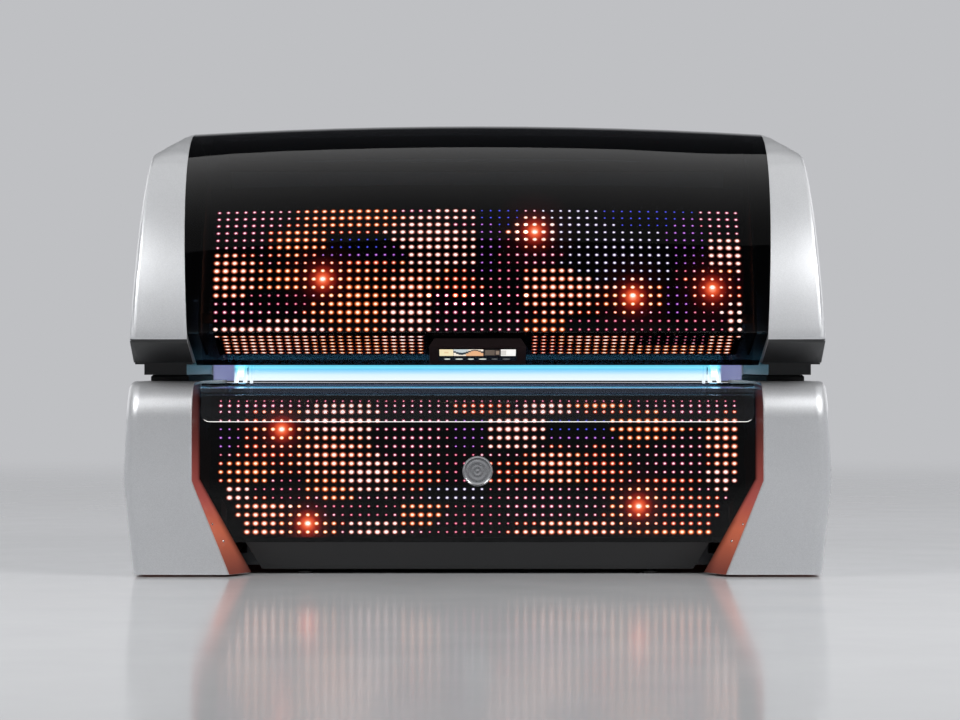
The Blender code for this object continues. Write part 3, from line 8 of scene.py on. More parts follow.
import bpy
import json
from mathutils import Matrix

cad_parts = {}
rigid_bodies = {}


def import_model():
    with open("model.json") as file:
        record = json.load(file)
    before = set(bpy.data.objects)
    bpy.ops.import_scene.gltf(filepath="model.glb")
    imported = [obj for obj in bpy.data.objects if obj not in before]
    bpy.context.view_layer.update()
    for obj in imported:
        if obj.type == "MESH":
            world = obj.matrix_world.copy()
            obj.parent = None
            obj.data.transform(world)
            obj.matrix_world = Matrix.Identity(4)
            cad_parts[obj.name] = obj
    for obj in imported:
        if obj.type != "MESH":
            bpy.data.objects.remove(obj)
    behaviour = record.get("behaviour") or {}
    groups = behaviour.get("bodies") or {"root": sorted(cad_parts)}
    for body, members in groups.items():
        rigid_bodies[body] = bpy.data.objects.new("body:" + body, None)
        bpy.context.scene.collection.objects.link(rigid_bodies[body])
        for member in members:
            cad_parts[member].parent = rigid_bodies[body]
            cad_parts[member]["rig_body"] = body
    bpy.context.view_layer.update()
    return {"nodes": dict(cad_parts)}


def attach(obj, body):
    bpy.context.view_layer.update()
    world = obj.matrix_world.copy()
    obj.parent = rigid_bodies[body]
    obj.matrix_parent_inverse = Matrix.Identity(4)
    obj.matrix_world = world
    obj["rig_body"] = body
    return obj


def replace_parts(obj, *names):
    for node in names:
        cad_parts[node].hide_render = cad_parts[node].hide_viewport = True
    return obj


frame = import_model()
nodes = frame["nodes"]

# %% [markdown]
# Colours are easiest to write as the hex values that a paint or screen chart gives.
# A shader works in linear light, so one function turns them over, and every material below uses it.
# One more function adds a shader node with its settings and its inputs: an input is either a value or another
# node's output. With these two, a material reads like a short recipe.

# %% colours and shader nodes
import json
from math import cos, exp, hypot, pi, radians, sin

import bmesh
import bpy
from mathutils import Vector, noise


def linear(hex_colour):
    """sRGB, as #rrggbb, to the linear colour that shader sockets take."""
    parts = [int(hex_colour[i:i + 2], 16) / 255 for i in (1, 3, 5)]
    return tuple(c / 12.92 if c <= 0.04045 else ((c + 0.055) / 1.055) ** 2.4 for c in parts) + (1.0,)


def add(tree, kind, inputs=None, **settings):
    """A node with its settings; an input is a value, or an output that is linked in."""
    node = tree.nodes.new(kind)
    for name, value in settings.items():
        setattr(node, name, value)
    for socket, value in (inputs or {}).items():
        if isinstance(value, bpy.types.NodeSocket):
            tree.links.new(value, node.inputs[socket])
        else:
            node.inputs[socket].default_value = value
    return node


def new_finish(name, **sockets):
    """A material with one Principled shader; a socket's spaces are written as underscores."""
    finish = bpy.data.materials.new(name)
    finish.use_nodes = True
    shader = finish.node_tree.nodes["Principled BSDF"]
    for socket, value in sockets.items():
        shader.inputs[socket.replace("_", " ")].default_value = value
    return finish, finish.node_tree, shader


print("white is", [round(c, 3) for c in linear("#ffffff")])

# %% [markdown]
# No real surface has one flat colour. Its tone drifts and its gloss changes from place to place, and both follow some
# pattern of grain, wear or flow. So a few more functions give a colour ramp its stops, let the base colour drift
# between two tones, and let any other socket follow a pattern. Sizes of patterns are written in millimetres.

# %% patterns and how pieces get a finish
def colour_stops(ramp, stops):
    """Gives a colour ramp its stops, each a share and a hex colour."""
    elements = ramp.color_ramp.elements
    for number, (share, hex_colour) in enumerate(stops):
        stop = elements[number] if number < 2 else elements.new(share)
        stop.position = share
        stop.color = linear(hex_colour)


def mottle(tree, shader, share, low, high):
    """Lets the base colour drift between two tones, as a pattern's share says."""
    tone = add(tree, "ShaderNodeValToRGB", {"Fac": share})
    colour_stops(tone, ((0.0, low), (1.0, high)))
    tree.links.new(tone.outputs["Color"], shader.inputs["Base Color"])


def vary(tree, shader, socket, share, low, high):
    """Lets a socket range between two values, as a pattern's share says."""
    span = add(tree, "ShaderNodeMapRange", {"Value": share, "To Min": low, "To Max": high})
    tree.links.new(span.outputs["Result"], shader.inputs[socket])


def per_metre(millimetres):
    """Texture scale that gives features of this size, as object coordinates are in metres."""
    return 1000.0 / millimetres


def dress(finish, *names):
    """Gives CAD nodes their finish through their material slots."""
    for name in names:
        for slot in nodes[name].material_slots:
            slot.material = finish


print("a pattern of 2 mm repeats", per_metre(2), "times a metre")

# %% [markdown]
# The photograph was taken from far away with a long lens, level and at the height of the slot between base and
# canopy, so upright edges stay upright. The same lens length and place give the same foreshortening of the canopy.
# A very small shift centres the bed as it sits in the picture.

# %% camera
CAMERA_PLACE = (0.0, -10.66, 0.719)
LENS_MM = 110.6
scene = bpy.context.scene
camera = bpy.data.objects.new("camera", bpy.data.cameras.new("camera"))
camera.data.lens = LENS_MM
camera.data.sensor_width = 36.0
camera.data.shift_x = 0.0025
camera.data.shift_y = 0.00625
camera.data.clip_end = 200.0
camera.location = CAMERA_PLACE
camera.rotation_euler = (pi / 2, 0.0, 0.0)
scene.collection.objects.link(camera)
scene.camera = camera
scene.view_settings.view_transform = "Standard"
print("camera", CAMERA_PLACE, "lens", LENS_MM, "mm")

# %% [markdown]
# The studio is a wide pale floor that fades into an equally pale surrounding, so no horizon cuts behind the bed.
# A wall would stand in the way of views from behind, so the floor is one large round sheet instead.
# Its sealed, slightly polished surface mirrors the glowing fronts a little, as the floor in the photograph does.
# Far from the bed it takes the tone of the wall it runs towards: pale at the back, in shade behind the camera.

# %% floor
PALE = "#bfc0c3"
SHADE = "#6a6b6e"
FLOOR_RADIUS = 60.0
FADE_FROM = 4.0            # metres from the bed where the floor starts to fade
FADE_TO = 13.0
FLOOR_SHADE = (-9.0, -5.0)  # from the shaded end to the pale one, along y

floor_mesh = bmesh.new()
bmesh.ops.create_circle(floor_mesh, cap_ends=True, segments=96, radius=FLOOR_RADIUS)
floor = bpy.data.objects.new("studio_floor", bpy.data.meshes.new("studio_floor"))
floor_mesh.to_mesh(floor.data)
floor_mesh.free()
scene.collection.objects.link(floor)

sealed, tree, shader = new_finish("sealed_screed", IOR=1.45)
place = add(tree, "ShaderNodeTexCoord").outputs["Object"]
cloud = add(tree, "ShaderNodeTexNoise", {"Vector": place, "Scale": per_metre(420), "Detail": 4.0})
mottle(tree, shader, cloud.outputs["Fac"], "#cfd0d2", "#d8d9db")
vary(tree, shader, "Roughness", cloud.outputs["Fac"], 0.09, 0.15)
away = add(tree, "ShaderNodeVectorMath", {0: place}, operation="LENGTH").outputs["Value"]
fade = add(tree, "ShaderNodeMapRange", {"Value": away, "From Min": FADE_FROM, "From Max": FADE_TO},
           interpolation_type="SMOOTHSTEP").outputs["Result"]
ahead = add(tree, "ShaderNodeSeparateXYZ", {0: place}).outputs["Y"]
side = add(tree, "ShaderNodeMapRange", {"Value": ahead, "From Min": FLOOR_SHADE[0],
                                        "From Max": FLOOR_SHADE[1]})
far_tone = add(tree, "ShaderNodeMix", {0: side.outputs["Result"], 6: linear(SHADE), 7: linear(PALE)}, data_type="RGBA")
haze = add(tree, "ShaderNodeEmission", {"Color": far_tone.outputs[2], "Strength": 1.0})
blend = add(tree, "ShaderNodeMixShader", {0: fade, 1: shader.outputs["BSDF"], 2: haze.outputs["Emission"]})
tree.links.new(blend.outputs["Shader"], tree.nodes["Material Output"].inputs["Surface"])
floor.data.materials.append(sealed)
print("floor fades into", PALE, "between", FADE_FROM, "and", FADE_TO, "m")

# %% [markdown]
# The surrounding is a pale wall that grows dim towards the ceiling, as in a studio where no lamp is turned upwards.
# Black gloss looks black only where it has something dark to mirror. So the wall behind the camera, which the upright
# front of the base mirrors, lies in shade too.

# %% surrounding
CEILING = "#2e2f32"
WALL_TO = 9.0              # degrees over the horizon where the wall starts to dim
CEILING_FROM = 24.0
WALL_SHADE = (-0.6, -0.1)   # y of a direction, from the shaded wall to the pale one

world = bpy.data.worlds.new("pale_studio")
world.use_nodes = True
tree = world.node_tree
sight = add(tree, "ShaderNodeSeparateXYZ", {0: add(tree, "ShaderNodeTexCoord").outputs["Generated"]})
dim = add(tree, "ShaderNodeMapRange", {"Value": sight.outputs["Z"], "From Min": sin(radians(WALL_TO)),
                                       "From Max": sin(radians(CEILING_FROM))}, interpolation_type="SMOOTHSTEP")
side = add(tree, "ShaderNodeMapRange", {"Value": sight.outputs["Y"], "From Min": WALL_SHADE[0],
                                        "From Max": WALL_SHADE[1]})
wall = add(tree, "ShaderNodeMix", {0: side.outputs["Result"], 6: linear(SHADE), 7: linear(PALE)}, data_type="RGBA")
room = add(tree, "ShaderNodeMix", {0: dim.outputs["Result"], 6: wall.outputs[2], 7: linear(CEILING)},
           data_type="RGBA")
tree.links.new(room.outputs[2], tree.nodes["Background"].inputs["Color"])
scene.world = world
print("wall", PALE, "up to", WALL_TO, "degrees, ceiling", CEILING, "from", CEILING_FROM, "degrees")

# %% [markdown]
# Large soft boxes light a product like this. The one overhead draws the grey band on the black canopy: its back edge
# gives the band's crisp upper border, and its diffuser grows dimmer towards the front, so the band fades downwards.
# One more on each side shapes the silver covers, and two wide ones behind light the back. Big and near means soft
# shadows. Their power is worked out from the brightness that a white card would get, so that colours come out about
# as they are written.

# %% soft boxes
BED_MIDDLE = Vector((0.0, 0.0, 0.75))
SOFT_BOXES = {                      # place, aim, width, height, share of a white card's brightness, dim end's share
    "overhead": ((0.0, -0.4, 4.6), (0.0, -0.4, 0.0), 9.6, 4.8, 0.50, 0.2),
    "left_side": ((-4.3, -3.9, 5.0), BED_MIDDLE, 3.2, 3.2, 0.56, 1.0),
    "right_side": ((4.3, -3.9, 5.0), BED_MIDDLE, 3.2, 3.2, 0.72, 1.0),
    "rear_left": ((-6.4, 4.8, 3.2), BED_MIDDLE, 6.0, 4.6, 0.13, 1.0),
    "rear_right": ((6.4, 4.8, 3.2), BED_MIDDLE, 6.0, 4.6, 0.13, 1.0),
}
for name, (spot, aim, width, height, share, dim) in SOFT_BOXES.items():
    light = bpy.data.lights.new(name, "AREA")
    light.shape = "RECTANGLE"
    light.size = width
    light.size_y = height
    towards = Vector(aim) - Vector(spot)
    light.energy = share * pi ** 2 * towards.length_squared
    light.use_nodes = True
    tree = light.node_tree
    across = add(tree, "ShaderNodeSeparateXYZ", {0: add(tree, "ShaderNodeNewGeometry").outputs["Parametric"]})
    grade = add(tree, "ShaderNodeMapRange", {"Value": across.outputs["Y"], "To Min": dim, "To Max": 1.0},
                interpolation_type="SMOOTHERSTEP")
    tree.links.new(grade.outputs["Result"], tree.nodes["Emission"].inputs["Strength"])
    box = bpy.data.objects.new(name, light)
    box.location = spot
    box.rotation_euler = towards.to_track_quat("-Z", "Y").to_euler()
    scene.collection.objects.link(box)
    print("soft box", name, round(light.energy), "W")

# %% [markdown]
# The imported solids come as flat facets, because a stored solid is cut into triangles. Lacquer and gloss show every
# facet, so each curved piece gets a skin: a copy of its own shape whose facets are shaded as one surface. Real edges
# stay sharp, and where a piece is moulded or trimmed they are broken by a small radius that catches the light.
# A skin stands for its solid in the picture and rides on the same moving body.

# %% skins over the solids
SHARP_DEGREES = 31.0
FLAT_DEGREES = 0.3
WELD = 0.00002
BEND_FROM = 1.34            # only above this height does a bend need finer faces
BEND_CUTS = 3


def finish_piece(name, mesh, finishes, body, slot):
    """Turns a mesh into a piece that rides on a body."""
    piece = bpy.data.objects.new(name, bpy.data.meshes.new(name))
    mesh.to_mesh(piece.data)
    mesh.free()
    for finish in finishes:
        piece.data.materials.append(finish)
    scene.collection.objects.link(piece)
    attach(piece, body)
    return piece


def sharp_edges(mesh):
    return [edge for edge in mesh.edges if edge.calc_face_angle(0.0) > radians(SHARP_DEGREES)]


def skin(name, finishes, pick=None, edge_radius=0.0, bend=None):
    """A smooth copy of a node; pick tells which of the finishes a face gets, bend moves its points."""
    node = nodes[name]
    mesh = bmesh.new()
    mesh.from_mesh(node.data)
    bmesh.ops.remove_doubles(mesh, verts=mesh.verts, dist=WELD)
    bmesh.ops.dissolve_limit(mesh, angle_limit=radians(FLAT_DEGREES), verts=mesh.verts, edges=mesh.edges)
    if bend:
        high = [edge for edge in mesh.edges if min(vert.co.z for vert in edge.verts) > BEND_FROM]
        bmesh.ops.subdivide_edges(mesh, edges=high, cuts=BEND_CUTS, use_grid_fill=True)
        mesh.normal_update()
        for vert, spot in [(vert, bend(vert.co, vert.normal)) for vert in mesh.verts]:
            vert.co = spot
        mesh.normal_update()
    for face in mesh.faces:
        face.smooth = True
        face.material_index = pick(face) if pick else 0
    if edge_radius:
        bmesh.ops.bevel(mesh, geom=sharp_edges(mesh), offset=edge_radius, segments=2, profile=0.5, affect="EDGES",
                        clamp_overlap=True)
    for edge in sharp_edges(mesh):
        edge.smooth = False
    piece = finish_piece(name + "_skin", mesh, finishes, node["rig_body"], node.data.materials[0].name)
    even = piece.modifiers.new("area_weighted", "WEIGHTED_NORMAL")
    even.keep_sharp = True
    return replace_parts(piece, name)


print("facets under", SHARP_DEGREES, "degrees are shaded as one surface")

# %% [markdown]
# The four end covers are moulded plastic, sprayed with silver metallic lacquer and a clear coat.
# Aluminium flakes in such a lacquer scatter light like satin metal, the clear coat adds a fainter sharp shine, and
# spraying leaves a slight unevenness called orange peel. Real flakes are about 0.03 mm, far below a pixel, so they
# are drawn 1.6 mm across here to show as a fine grain.

# %% silver lacquer
FLAKE_MM = 1.6
ORANGE_PEEL_MM = 7.0
SPRAY_DRIFT_MM = 260.0


def silver_lacquer(name):
    """Sprayed flake lacquer under a clear coat; the same recipe serves plain faces and the walls with painted
    lamplight.
    """
    finish, tree, shader = new_finish(name, Metallic=0.62, Coat_Weight=0.3, Coat_Roughness=0.14, Coat_IOR=1.5)
    place = add(tree, "ShaderNodeTexCoord").outputs["Object"]
    flakes = add(tree, "ShaderNodeTexVoronoi", {"Vector": place, "Scale": per_metre(FLAKE_MM)})
    drift = add(tree, "ShaderNodeTexNoise", {"Vector": place, "Scale": per_metre(SPRAY_DRIFT_MM), "Detail": 3.0})
    grain = add(tree, "ShaderNodeValToRGB", {"Fac": flakes.outputs["Color"]})
    colour_stops(grain, ((0.0, "#c6c7c9"), (1.0, "#dadbdd")))
    cast = add(tree, "ShaderNodeValToRGB", {"Fac": drift.outputs["Fac"]})
    colour_stops(cast, ((0.0, "#f4f5f6"), (1.0, "#ffffff")))
    colour = add(tree, "ShaderNodeMix", {0: 1.0, 6: grain.outputs["Color"], 7: cast.outputs["Color"]},
                 data_type="RGBA", blend_type="MULTIPLY")
    tree.links.new(colour.outputs[2], shader.inputs["Base Color"])
    vary(tree, shader, "Roughness", flakes.outputs["Color"], 0.36, 0.46)
    peel = add(tree, "ShaderNodeTexNoise", {"Vector": place, "Scale": per_metre(ORANGE_PEEL_MM)})
    bump = add(tree, "ShaderNodeBump", {"Height": peel.outputs["Fac"], "Strength": 0.05, "Distance": 0.0004})
    tree.links.new(bump.outputs["Normal"], shader.inputs["Coat Normal"])
    return finish, tree, shader, place


silver = silver_lacquer("sprayed_silver_lacquer")[0]
print("silver lacquer, flakes", FLAKE_MM, "mm")

# %% [markdown]
# Skirts, pod, rear cover and fan are moulded black ABS, and the undersides of the canopy's end covers get the same
# finish. The mould is eroded to a fine matt grain, which hides fingerprints. The grain is about 0.2 mm and is drawn at
# 1.5 mm.

# %% moulded ABS
GRAIN_MM = 1.5
abs_black, tree, shader = new_finish("moulded_black_abs", IOR=1.53)
place = add(tree, "ShaderNodeTexCoord").outputs["Object"]
grain = add(tree, "ShaderNodeTexVoronoi", {"Vector": place, "Scale": per_metre(GRAIN_MM)}, feature="SMOOTH_F1")
flow = add(tree, "ShaderNodeTexNoise", {"Vector": place, "Scale": per_metre(120), "Detail": 3.0})
mottle(tree, shader, flow.outputs["Fac"], "#111213", "#1a1b1d")
vary(tree, shader, "Roughness", grain.outputs["Distance"], 0.34, 0.54)
bump = add(tree, "ShaderNodeBump", {"Height": grain.outputs["Distance"], "Strength": 0.18, "Distance": 0.0003})
tree.links.new(bump.outputs["Normal"], shader.inputs["Normal"])
dress(abs_black, "canopy_skirt_left", "canopy_skirt_right", "fan_housing", "fan_rotor", "mains_inlet")
print("moulded ABS, grain", GRAIN_MM, "mm")

# %% [markdown]
# The canopy's end covers are silver outside. Their underside, which leans towards the base, is drawn dark: a face that
# looks down gets the second finish, the black ABS. Their top is planed off at a slant: towards the outer side it
# comes down by a tenth of a metre with a soft fold, while the front keeps its curve right up to that fold. The solid
# part rounds this corner off, so the points of the skin are moved back out to the curve and then down to the plane.

# %% end covers of the canopy
UNDER = -0.35
SEAM_RADIUS = 0.003
FLOOR_Z = 0.7309            # underside of the canopy
AXIS_Y = 0.1199             # middle of the front curve
AXIS_Z = 0.7287
SEAM_X = 0.9757             # half width of the seam at the underside, and its lean
SEAM_LEAN = 0.0577
OUTER_X = 1.1785            # half width of the outer side at the underside, and its lean
OUTER_LEAN = -0.0438
FALL = 0.088                # how far the solid part rounds the corner off
FALL_FROM = 0.070
FALL_TO = 0.720
PLANE_TOP = 1.5637
PLANE_DROP = 0.100
PLANE_SOFT = 0.15           # share of the curve that is left over the plane
FOLD = 0.024                # width of the fold at the outer side
INSIDE = 0.007              # the inner face of the wall lies lower


def planed(spot, normal):
    """A point of the end cover, put back on the curve and then down to the slanting plane."""
    rise = spot.z - FLOOR_Z
    seam = SEAM_X + SEAM_LEAN * rise
    outer = OUTER_X + OUTER_LEAN * rise
    along = min(max((abs(spot.x) - seam) / (outer - seam), 0.0), 1.0)
    ray = Vector((0.0, spot.y - AXIS_Y, spot.z - AXIS_Z)).normalized()
    moved = spot.copy()
    for _ in range(4):
        share = min(max((moved.z - FLOOR_Z - FALL_FROM) / (FALL_TO - FALL_FROM), 0.0), 1.0)
        moved = spot + ray * FALL * share * along
    top = PLANE_TOP - PLANE_DROP * along - (INSIDE if normal.dot(ray) < 0.0 else 0.0)
    over = moved.z - top
    moved.z -= (1.0 - PLANE_SOFT) * 0.5 * (over + hypot(over, FOLD * along))
    return moved


def under_or_outside(face):
    return 1 if face.normal.z < UNDER else 0


# Faces that look down get the black ABS, so the underside shows dark.
for side in ("left", "right"):
    skin("canopy_cover_" + side, [silver, abs_black], under_or_outside, SEAM_RADIUS, planed)
print("end covers, top down by", PLANE_DROP, "m at the outer side")

# %% [markdown]
# On the base, the lamps of the front panel shine onto the covers' inner walls, which glow in a dull orange beside the
# panel. That light is painted onto the walls: they get a copy of the lacquer with a dark warm base colour and a glow of
# painted lamplight. It is weak at the top, strongest where the wall turns outwards, fades at the floor, and dies away
# towards the panel low down.

# %% covers of the base and the painted lamplight on their walls
WALL_FACING = 0.8
COVER_RADIUS = 0.005
GLOW_TOP = 0.66             # height where the lamplight on the wall starts, and where it ends
GLOW_FOOT = 0.02
GLOW_BACK = -0.47           # y where it is faintest, beside the panel, and where it is full
GLOW_FRONT = -0.56
# A copy of the lacquer with painted lamplight: a dark warm base colour and an orange glow by height and depth.
lit_silver, tree, shader, place = silver_lacquer("sprayed_silver_lacquer_lamplit")
for link in list(shader.inputs["Base Color"].links):
    tree.links.remove(link)
shader.inputs["Base Color"].default_value = linear("#2a1512")
shader.inputs["Metallic"].default_value = 0.3
spot = add(tree, "ShaderNodeSeparateXYZ", {0: place})
height = add(tree, "ShaderNodeMapRange", {"Value": spot.outputs["Z"], "From Min": GLOW_TOP,
                                          "From Max": GLOW_FOOT})
warm = add(tree, "ShaderNodeValToRGB", {"Fac": height.outputs["Result"]})
colour_stops(warm, ((0.0, "#2a1012"), (0.3, "#5e2a26"), (0.62, "#a04c46"), (0.78, "#b96046"), (1.0, "#6e372d")))
depth = add(tree, "ShaderNodeMapRange", {"Value": spot.outputs["Y"], "From Min": GLOW_BACK, "From Max": GLOW_FRONT,
                                         "To Min": 0.05, "To Max": 1.0}, interpolation_type="SMOOTHSTEP")
tree.links.new(warm.outputs["Color"], shader.inputs["Emission Color"])
tree.links.new(depth.outputs["Result"], shader.inputs["Emission Strength"])


def wall_or_outside(face):
    inwards = -face.normal.x if face.calc_center_median().x > 0 else face.normal.x
    return 1 if inwards > WALL_FACING else 0


for side in ("left", "right"):
    skin("base_cover_" + side, [silver, lit_silver], wall_or_outside, COVER_RADIUS)
print("base covers, walls lit where they face the middle")

# %% [markdown]
# The tubes flood the tunnel between base and canopy. What shows of it in the slot is the rear cover's white inner
# face with the tubes' light painted on it as a glow: a cyan line at its top, light blue below it and white at the
# bottom, and lilac at both ends where no tube reaches. Outside, the cover is the same black plastic.

# %% rear cover with painted tube light on its liner
BANDS = (0.657, 0.722)      # heights between which the colour bands lie
TUBE_END = (0.934, 0.940)   # half width where the tubes' light ends
LINER_END = (1.014, 1.020)
LINER_FOOT = (0.63, 0.65)
LINER_FADE = 0.724
LINER_TOP = 0.80
TUNNEL_FACING = -0.5        # faces that look forwards, into the tunnel
# A white finish whose emission is painted tube light: bands of cyan, light blue and white, with lilac at the ends.
liner, tree, shader = new_finish("white_liner_painted_tube_light", Base_Color=linear("#e9edf5"), Roughness=0.45)
spot = add(tree, "ShaderNodeSeparateXYZ", {0: add(tree, "ShaderNodeTexCoord").outputs["Object"]})
rise = add(tree, "ShaderNodeMapRange", {"Value": spot.outputs["Z"], "From Min": BANDS[0], "From Max": BANDS[1]})
bands = add(tree, "ShaderNodeValToRGB", {"Fac": rise.outputs["Result"]})
colour_stops(bands, ((0.0, "#f4fbff"), (0.42, "#dcf4ff"), (0.62, "#9fdcff"), (0.78, "#62c8f0"), (0.84, "#7fe9ff"),
                     (1.0, "#58c4e4")))
reach = add(tree, "ShaderNodeMath", {0: spot.outputs["X"]}, operation="ABSOLUTE").outputs["Value"]
beyond = add(tree, "ShaderNodeMapRange", {"Value": reach, "From Min": TUBE_END[0], "From Max": TUBE_END[1]})
tunnel = add(tree, "ShaderNodeMix", {0: beyond.outputs["Result"], 6: bands.outputs["Color"], 7: linear("#6f6fa4")},
             data_type="RGBA")
power = add(tree, "ShaderNodeMapRange", {"Value": beyond.outputs["Result"], "To Min": 1.0, "To Max": 0.75})
aside = add(tree, "ShaderNodeMapRange", {"Value": reach, "From Min": LINER_END[0], "From Max": LINER_END[1],
                                         "To Min": 1.0, "To Max": 0.0})
fade = add(tree, "ShaderNodeMapRange", {"Value": spot.outputs["Z"], "From Min": LINER_FADE, "From Max": LINER_TOP,
                                        "To Min": aside.outputs["Result"], "To Max": 0.0})
low = add(tree, "ShaderNodeMapRange", {"Value": spot.outputs["Z"], "From Min": LINER_FOOT[0], "From Max": LINER_FOOT[1],
                                       "To Max": power.outputs["Result"]})
light = add(tree, "ShaderNodeMath", {0: low.outputs["Result"], 1: fade.outputs["Result"]}, operation="MULTIPLY")
tree.links.new(tunnel.outputs[2], shader.inputs["Emission Color"])
tree.links.new(light.outputs["Value"], shader.inputs["Emission Strength"])


def liner_or_outside(face):
    return 1 if face.normal.y < TUNNEL_FACING else 0


skin("canopy_rear_cover", [abs_black, liner], liner_or_outside)
print("liner lit up to", LINER_TOP, "m")

# %% [markdown]
# Frames, floor pan, rear panel and ballast box are steel with a baked powder coat. The powder melts into a fine
# leather-like texture of about a millimetre, drawn here at 2.2 mm, and its tone drifts a little where it lies thicker.
# Where the canopy's rear rail and the hinge brackets look into the tunnel, they carry the same white finish with
# painted tube light as the liner, so that the slot shows lit from end to end.

# %% powder-coated steel
POWDER_MM = 2.2
powder, tree, shader = new_finish("powder_coated_steel", IOR=1.5, Specular_IOR_Level=0.4)
place = add(tree, "ShaderNodeTexCoord").outputs["Object"]
melt = add(tree, "ShaderNodeTexNoise", {"Vector": place, "Scale": per_metre(POWDER_MM), "Detail": 3.0})
drift = add(tree, "ShaderNodeTexNoise", {"Vector": place, "Scale": per_metre(180), "Detail": 3.0})
mottle(tree, shader, drift.outputs["Fac"], "#35373a", "#434548")
vary(tree, shader, "Roughness", melt.outputs["Fac"], 0.48, 0.66)
bump = add(tree, "ShaderNodeBump", {"Height": melt.outputs["Fac"], "Strength": 0.3, "Distance": 0.0003})
tree.links.new(bump.outputs["Normal"], shader.inputs["Normal"])
dress(powder, "base_frame", "floor_pan", "ballast_box")
PANEL_FOOT = 0.030          # points under this height belong to the lower edge
PANEL_DOWN = 0.002
TUNNEL_BACK = 0.4           # y behind which steel can show in the slot
STEEL_FACING = 0.5          # faces that look further back than this stay powder-coated


def lowered(spot, normal):
    """The rear panel's lower edge comes down to the floor, so that no light shows under the bed."""
    return Vector((spot.x, spot.y, PANEL_DOWN)) if spot.z < PANEL_FOOT else spot.copy()


skin("base_rear_panel", [powder], bend=lowered)


def tunnel_or_steel(face):
    middle = face.calc_center_median()
    inside = middle.y > TUNNEL_BACK and LINER_FOOT[1] < middle.z < LINER_TOP
    return 1 if inside and face.normal.y < STEEL_FACING else 0


# Tunnel faces of the rear rail, hinge brackets and gas cylinders get the white finish with painted tube light.
skin("canopy_frame", [powder, liner], tunnel_or_steel)
for side in ("left", "right"):
    skin("hinge_bracket_" + side, [powder, liner], tunnel_or_steel)
    skin("gas_cylinder_" + side, [abs_black, liner], tunnel_or_steel)
print("powder coat, texture", POWDER_MM, "mm")

# %% [markdown]
# The two big fronts are sheets of smoked cast acrylic. Switched off they look black; the lamps behind shine through.
# A transmissive shader with a dark tint does both: each sheet lets about a tenth of the light pass. Bare acrylic, with
# its index of 1.49, mirrors four parts in a hundred; a scratch-proof hard coat with an index of 1.38 brings that down
# to two and a half. Wiping leaves a faint unevenness in the gloss.
# The canopy's chin looks down into the lit trough, so its sheet has a coat against glare; that coat mirrors about as
# little as a sheet with an index of 1.07 would.

# %% smoked acrylic
WIPE_MM = 90.0
smoked, tree, shader = new_finish("smoked_cast_acrylic", Base_Color=linear("#58585b"), IOR=1.38,
                                  Transmission_Weight=1.0)
place = add(tree, "ShaderNodeTexCoord").outputs["Object"]
wiped = add(tree, "ShaderNodeTexNoise", {"Vector": place, "Scale": per_metre(WIPE_MM), "Detail": 5.0})
vary(tree, shader, "Roughness", wiped.outputs["Fac"], 0.0, 0.035)
CHIN_TOP = 0.84
CHIN_FACING = 0.5
matt_smoked = smoked.copy()
matt_smoked.name = "smoked_cast_acrylic_low_glare"
matt_smoked.node_tree.nodes["Principled BSDF"].inputs["IOR"].default_value = 1.07


def chin_or_front(face):
    return 1 if abs(face.normal.z) > CHIN_FACING and face.calc_center_median().z < CHIN_TOP else 0


skin("base_front_panel", [smoked])
skin("canopy_front_shell", [smoked, matt_smoked], chin_or_front)
print("smoked acrylic lets through", round(linear("#58585b")[0], 3))

# %% [markdown]
# The kick panel at the floor and the touch screen's cover are the same sheet dyed right through, so nothing shows
# behind them. Dyed acrylic is glossy, a little grey where scuffs and dust catch the light near the floor.

# %% black acrylic
SCUFF_MM = 34.0
dyed, tree, shader = new_finish("black_cast_acrylic", IOR=1.49)
place = add(tree, "ShaderNodeTexCoord").outputs["Object"]
scuff = add(tree, "ShaderNodeTexNoise", {"Vector": place, "Scale": per_metre(SCUFF_MM), "Detail": 6.0})
mottle(tree, shader, scuff.outputs["Fac"], "#0d0e0f", "#1b1c1d")
vary(tree, shader, "Roughness", scuff.outputs["Fac"], 0.07, 0.2)
dress(dyed, "kick_panel", "control_screen")
print("black acrylic on the kick panel and the screen")

# %% [markdown]
# Bench and ceiling are clear cast acrylic, bent over a former. Such sheet passes nearly all light with a faint blue
# cast along its thickness, and the light that runs inside it comes out at its cut edges.

# %% clear acrylic
clear, tree, shader = new_finish("clear_cast_acrylic", Base_Color=linear("#eef3fb"), IOR=1.49,
                                 Transmission_Weight=1.0)
place = add(tree, "ShaderNodeTexCoord").outputs["Object"]
wiped = add(tree, "ShaderNodeTexNoise", {"Vector": place, "Scale": per_metre(WIPE_MM), "Detail": 4.0})
vary(tree, shader, "Roughness", wiped.outputs["Fac"], 0.0, 0.03)
skin("bench_acrylic", [clear])
skin("canopy_acrylic", [clear])
print("clear acrylic on bench and ceiling")

# %% [markdown]
# The front shield is the same sheet. Light from the lamps runs inside it and leaves at its polished rim, which shows as
# a thin bright line along the bottom and round the two lower corners. The line is painted light, a glow drawn from the
# distance to the shield's outline, a rectangle with rounded corners.

